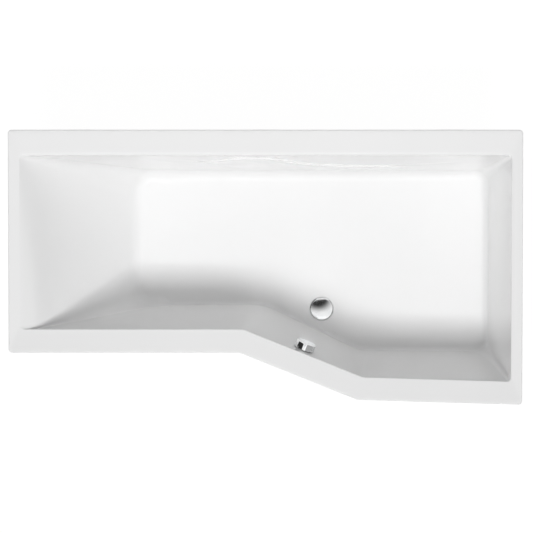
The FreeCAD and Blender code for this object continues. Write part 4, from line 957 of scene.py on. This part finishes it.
# Slots of moulded pieces, with darkest and lightest tone, range of roughness, scale and depth of the grain
MOULDED = {
    "foot_plastic": ((0.028, 0.028, 0.031), (0.055, 0.055, 0.06), (0.42, 0.6), 700.0, 0.0002),
    "rubber": ((0.025, 0.025, 0.026), (0.06, 0.06, 0.06), (0.6, 0.82), 520.0, 0.0002),
    "waste_plastic": ((0.72, 0.725, 0.72), (0.80, 0.80, 0.79), (0.34, 0.5), 600.0, 0.00015),
    "cable_sheath": ((0.02, 0.02, 0.022), (0.05, 0.05, 0.055), (0.28, 0.46), 800.0, 0.00015),
}
MOULDED_NAMES = {"rubber": "rubber_black"}
SLOT_MATERIALS = {
    "acrylic": acrylic(),
    "glassfibre": glassfibre(),
    "board": chipboard(),
    "batten": softwood("softwood_long", 0),
    "zinc": zinc(),
    "chrome": chrome(),
    "hose": hose_plastic(),
    "brass": brass(),
}
for slot, look in MOULDED.items():
    SLOT_MATERIALS[slot] = moulded(MOULDED_NAMES.get(slot, slot), *look)

# Battens that don't run along the tub, and how far they turn in plan
NODE_MATERIALS = {
    "rim_batten_slant": softwood("softwood_slant", 21.9),
    "rim_batten_wide": softwood("softwood_wide", 1.7),
}


def paint(piece, material):
    """Gives a piece one material."""
    piece.data.materials.clear()
    piece.data.materials.append(material)


for part in frame["record"]["subparts"]:
    node = frame["nodes"][part["node"]]
    material = NODE_MATERIALS.get(part["node"], SLOT_MATERIALS[part["material_slot"]])
    for place in node.material_slots:
        place.material = material

for piece, body, node, slot in (
    (acrylic_shell(), "tub", "acrylic_shell", "acrylic"),
    (domed_plug(), "plug", "drain_plug", "chrome"),
    (turning_cap(), "turning_cap", "overflow_knob", "chrome"),
    (overflow_hose(), "tub", "overflow_hose", "hose"),
    (pull_cable(), "tub", "pull_cable", "cable_sheath"),
):
    paint(piece, SLOT_MATERIALS[slot])
    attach(piece, body)
    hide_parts(node)


# Floor of the studio: white to the eye and in reflections, a plain pale floor to every other ray
STUDIO_SIZE = 30.0
STUDIO_TONE = (0.80, 0.80, 0.80, 1)
STUDIO_VEIL = (0.10, 0.10, 0.10, 1)
STUDIO_GLOW = 0.97


def studio_floor():
    """Large floor whose glow keeps a faint shadow under the tub."""
    bm = bmesh.new()
    bmesh.ops.create_grid(bm, x_segments=1, y_segments=1, size=STUDIO_SIZE)
    mesh = bpy.data.meshes.new("studio_floor")
    bm.to_mesh(mesh)
    bm.free()
    floor = new_piece("studio_floor", mesh)
    material = bpy.data.materials.new("studio_floor")
    material.use_nodes = True
    nodes, links = material.node_tree.nodes, material.node_tree.links
    nodes.remove(nodes["Principled BSDF"])
    path = nodes.new("ShaderNodeLightPath")
    matt = nodes.new("ShaderNodeBsdfDiffuse")
    matt.inputs["Color"].default_value = STUDIO_TONE
    veil = nodes.new("ShaderNodeBsdfDiffuse")
    veil.inputs["Color"].default_value = STUDIO_VEIL
    glow = nodes.new("ShaderNodeEmission")
    glow.inputs["Strength"].default_value = STUDIO_GLOW
    white = nodes.new("ShaderNodeAddShader")
    links.new(veil.outputs[0], white.inputs[0])
    links.new(glow.outputs[0], white.inputs[1])
    seen = nodes.new("ShaderNodeMath")
    seen.operation = "MAXIMUM"
    links.new(path.outputs["Is Camera Ray"], seen.inputs[0])
    links.new(path.outputs["Is Glossy Ray"], seen.inputs[1])
    mix = nodes.new("ShaderNodeMixShader")
    links.new(seen.outputs[0], mix.inputs["Fac"])
    links.new(matt.outputs[0], mix.inputs[1])
    links.new(white.outputs[0], mix.inputs[2])
    links.new(mix.outputs[0], nodes["Material Output"].inputs["Surface"])
    paint(floor, material)


studio_floor()

# World: white to the eye, other levels to lit surfaces and reflections, edges in a unit direction's x and y
AMBIENT_TOP = 0.63
AMBIENT_TOP_POWER = 6.0
AMBIENT_SIDES = 0.43
DARK_CENTRE = (-0.03, 0.052, 0.0)
DARK_SPREAD = (0.16, 0.125)
DARK_EDGE = (0.50, 1.50)
DARK_TOP = (0.050, 0.058)
DARK_TURN = -0.109
DARK_SIDE = (-0.34, -0.42)
DARK_LEVEL = 0.03
GREY_SIDE = (0.28, 0.36)
GREY_TURN = -0.4
GREY_LEVEL = 0.42
LAMP_EDGE = (-0.13, -0.16)
LAMP_LEVEL = 1.16


class Sky:
    """Nodes of the world, with levels that depend on the direction."""

    def __init__(self, world):
        self.nodes = world.node_tree.nodes
        self.links = world.node_tree.links
        self.spot = self.nodes.new("ShaderNodeTexCoord").outputs["Generated"]
        split = self.nodes.new("ShaderNodeSeparateXYZ")
        self.links.new(self.spot, split.inputs[0])
        self.x, self.y, self.z = split.outputs

    def step(self, value, source, target, kind="SMOOTHSTEP"):
        """Step from one level to another over a range of a value."""
        node = self.nodes.new("ShaderNodeMapRange")
        node.interpolation_type = kind
        for key, level in zip(("From Min", "From Max", "To Min", "To Max"), (*source, *target)):
            node.inputs[key].default_value = level
        self.links.new(value, node.inputs["Value"])
        return node.outputs["Result"]

    def pair(self, operation, a, b, clamp=False):
        """Sum or other operation on two values."""
        node = self.nodes.new("ShaderNodeMath")
        node.operation = operation
        node.use_clamp = clamp
        feed(self.links, a, node.inputs[0])
        feed(self.links, b, node.inputs[1])
        return node.outputs[0]

    def vector(self, operation, value, by=(0, 0, 0), output="Vector"):
        """Operation on a direction, with a plain vector as its other side."""
        node = self.nodes.new("ShaderNodeVectorMath")
        node.operation = operation
        self.links.new(value, node.inputs[0])
        node.inputs[1].default_value = by
        return node.outputs[output]

    def along(self, heading):
        """How far a direction of the sky points along a heading."""
        return self.vector("DOT_PRODUCT", self.spot, heading, "Value")

    def mix(self, share, a, b):
        """Value between two others."""
        node = self.nodes.new("ShaderNodeMix")
        for socket, value in ((node.inputs[0], share), (node.inputs[2], a), (node.inputs[3], b)):
            feed(self.links, value, socket)
        return node.outputs[0]


def ambient_level(sky):
    """Level that lights surfaces: from overhead and from both ends of the tub."""
    height = sky.pair("POWER", sky.z, AMBIENT_TOP_POWER, clamp=True)
    top = sky.step(height, (0, 1), (0, AMBIENT_TOP), "LINEAR")
    across = sky.pair("MULTIPLY", sky.x, sky.x)
    sides = sky.step(across, (0, 1), (0, AMBIENT_SIDES), "LINEAR")
    return sky.pair("ADD", top, sides)


def reflected_level(sky):
    """Level that reflections see: a dark patch overhead, a dark left, a grey right and a front lamp."""
    away = sky.vector("SUBTRACT", sky.spot, DARK_CENTRE)
    away = sky.vector("MULTIPLY", away, (1 / DARK_SPREAD[0], 1 / DARK_SPREAD[1], 0))
    level = sky.step(sky.vector("LENGTH", away, output="Value"), DARK_EDGE, (DARK_LEVEL, 1))
    above = sky.step(sky.along((DARK_TURN, 1, 0)), DARK_TOP, (0, 1))
    lamp = sky.step(sky.y, LAMP_EDGE, (0, LAMP_LEVEL))
    left = sky.step(sky.x, DARK_SIDE, (LAMP_LEVEL, DARK_LEVEL))
    right = sky.step(sky.along((1, GREY_TURN, 0)), GREY_SIDE, (LAMP_LEVEL, GREY_LEVEL))
    for operation, other in (("MAXIMUM", above), ("MAXIMUM", lamp), ("MINIMUM", left), ("MINIMUM", right)):
        level = sky.pair(operation, level, other)
    return level


def studio_world():
    """World whose level differs for the camera, for reflections and for lit surfaces."""
    world = bpy.data.worlds.new("studio")
    bpy.context.scene.world = world
    world.use_nodes = True
    sky = Sky(world)
    ray = sky.nodes.new("ShaderNodeLightPath").outputs
    level = sky.mix(ray["Is Glossy Ray"], ambient_level(sky), reflected_level(sky))
    seen = sky.pair("MAXIMUM", ray["Is Camera Ray"], ray["Is Transmission Ray"])
    back = sky.nodes["Background"]
    back.inputs["Color"].default_value = (*WHITE, 1)
    sky.links.new(sky.mix(seen, level, 1.0), back.inputs["Strength"])


studio_world()

# Key light: a long soft box over the front, tilted off the zenith and aimed past the floor's middle
KEY_POWER = 113.0
KEY_DISTANCE = 6.0
KEY_TILT = math.radians(18.8)
KEY_OVERSHOOT = math.radians(24)
KEY_SPREAD = math.radians(110)
KEY_LENGTH = 3.4
KEY_WIDTH = 1.30


def key_light():
    """Soft box that neither the camera nor a reflection sees."""
    lamp = bpy.data.lights.new("key", "AREA")
    lamp.shape = "RECTANGLE"
    lamp.size = KEY_LENGTH
    lamp.size_y = KEY_WIDTH
    lamp.energy = KEY_POWER
    lamp.spread = KEY_SPREAD
    key = new_piece("key", lamp)
    towards = Vector((0, -math.sin(KEY_TILT), math.cos(KEY_TILT)))
    key.location = towards * KEY_DISTANCE + Vector((0, 0, FLOOR * MM))
    key.rotation_euler = (KEY_TILT + KEY_OVERSHOOT, 0, 0)
    key.visible_camera = False
    key.visible_glossy = False


key_light()

# Camera: ten metres above the rim, leaning a little to the wall side
VIEW_TILT = math.radians(2.8)
VIEW_DISTANCE = 10.0
VIEW_WIDTH = 1.6576
VIEW_END = 100.0
SENSOR = 36.0
AIM = Vector((0.0031, 0.0034, RIM_TOP * MM))


def camera():
    """Camera over the tub, which shows the given width at the rim's height."""
    data = bpy.data.cameras.new("camera")
    data.sensor_width = SENSOR
    data.lens = SENSOR * VIEW_DISTANCE / VIEW_WIDTH
    data.clip_end = VIEW_END
    view = new_piece("camera", data)
    view.location = AIM + Vector((0, math.sin(VIEW_TILT), math.cos(VIEW_TILT))) * VIEW_DISTANCE
    view.rotation_euler = (-VIEW_TILT, 0, 0)
    bpy.context.scene.camera = view


camera()
bpy.context.scene.view_settings.view_transform = "Standard"
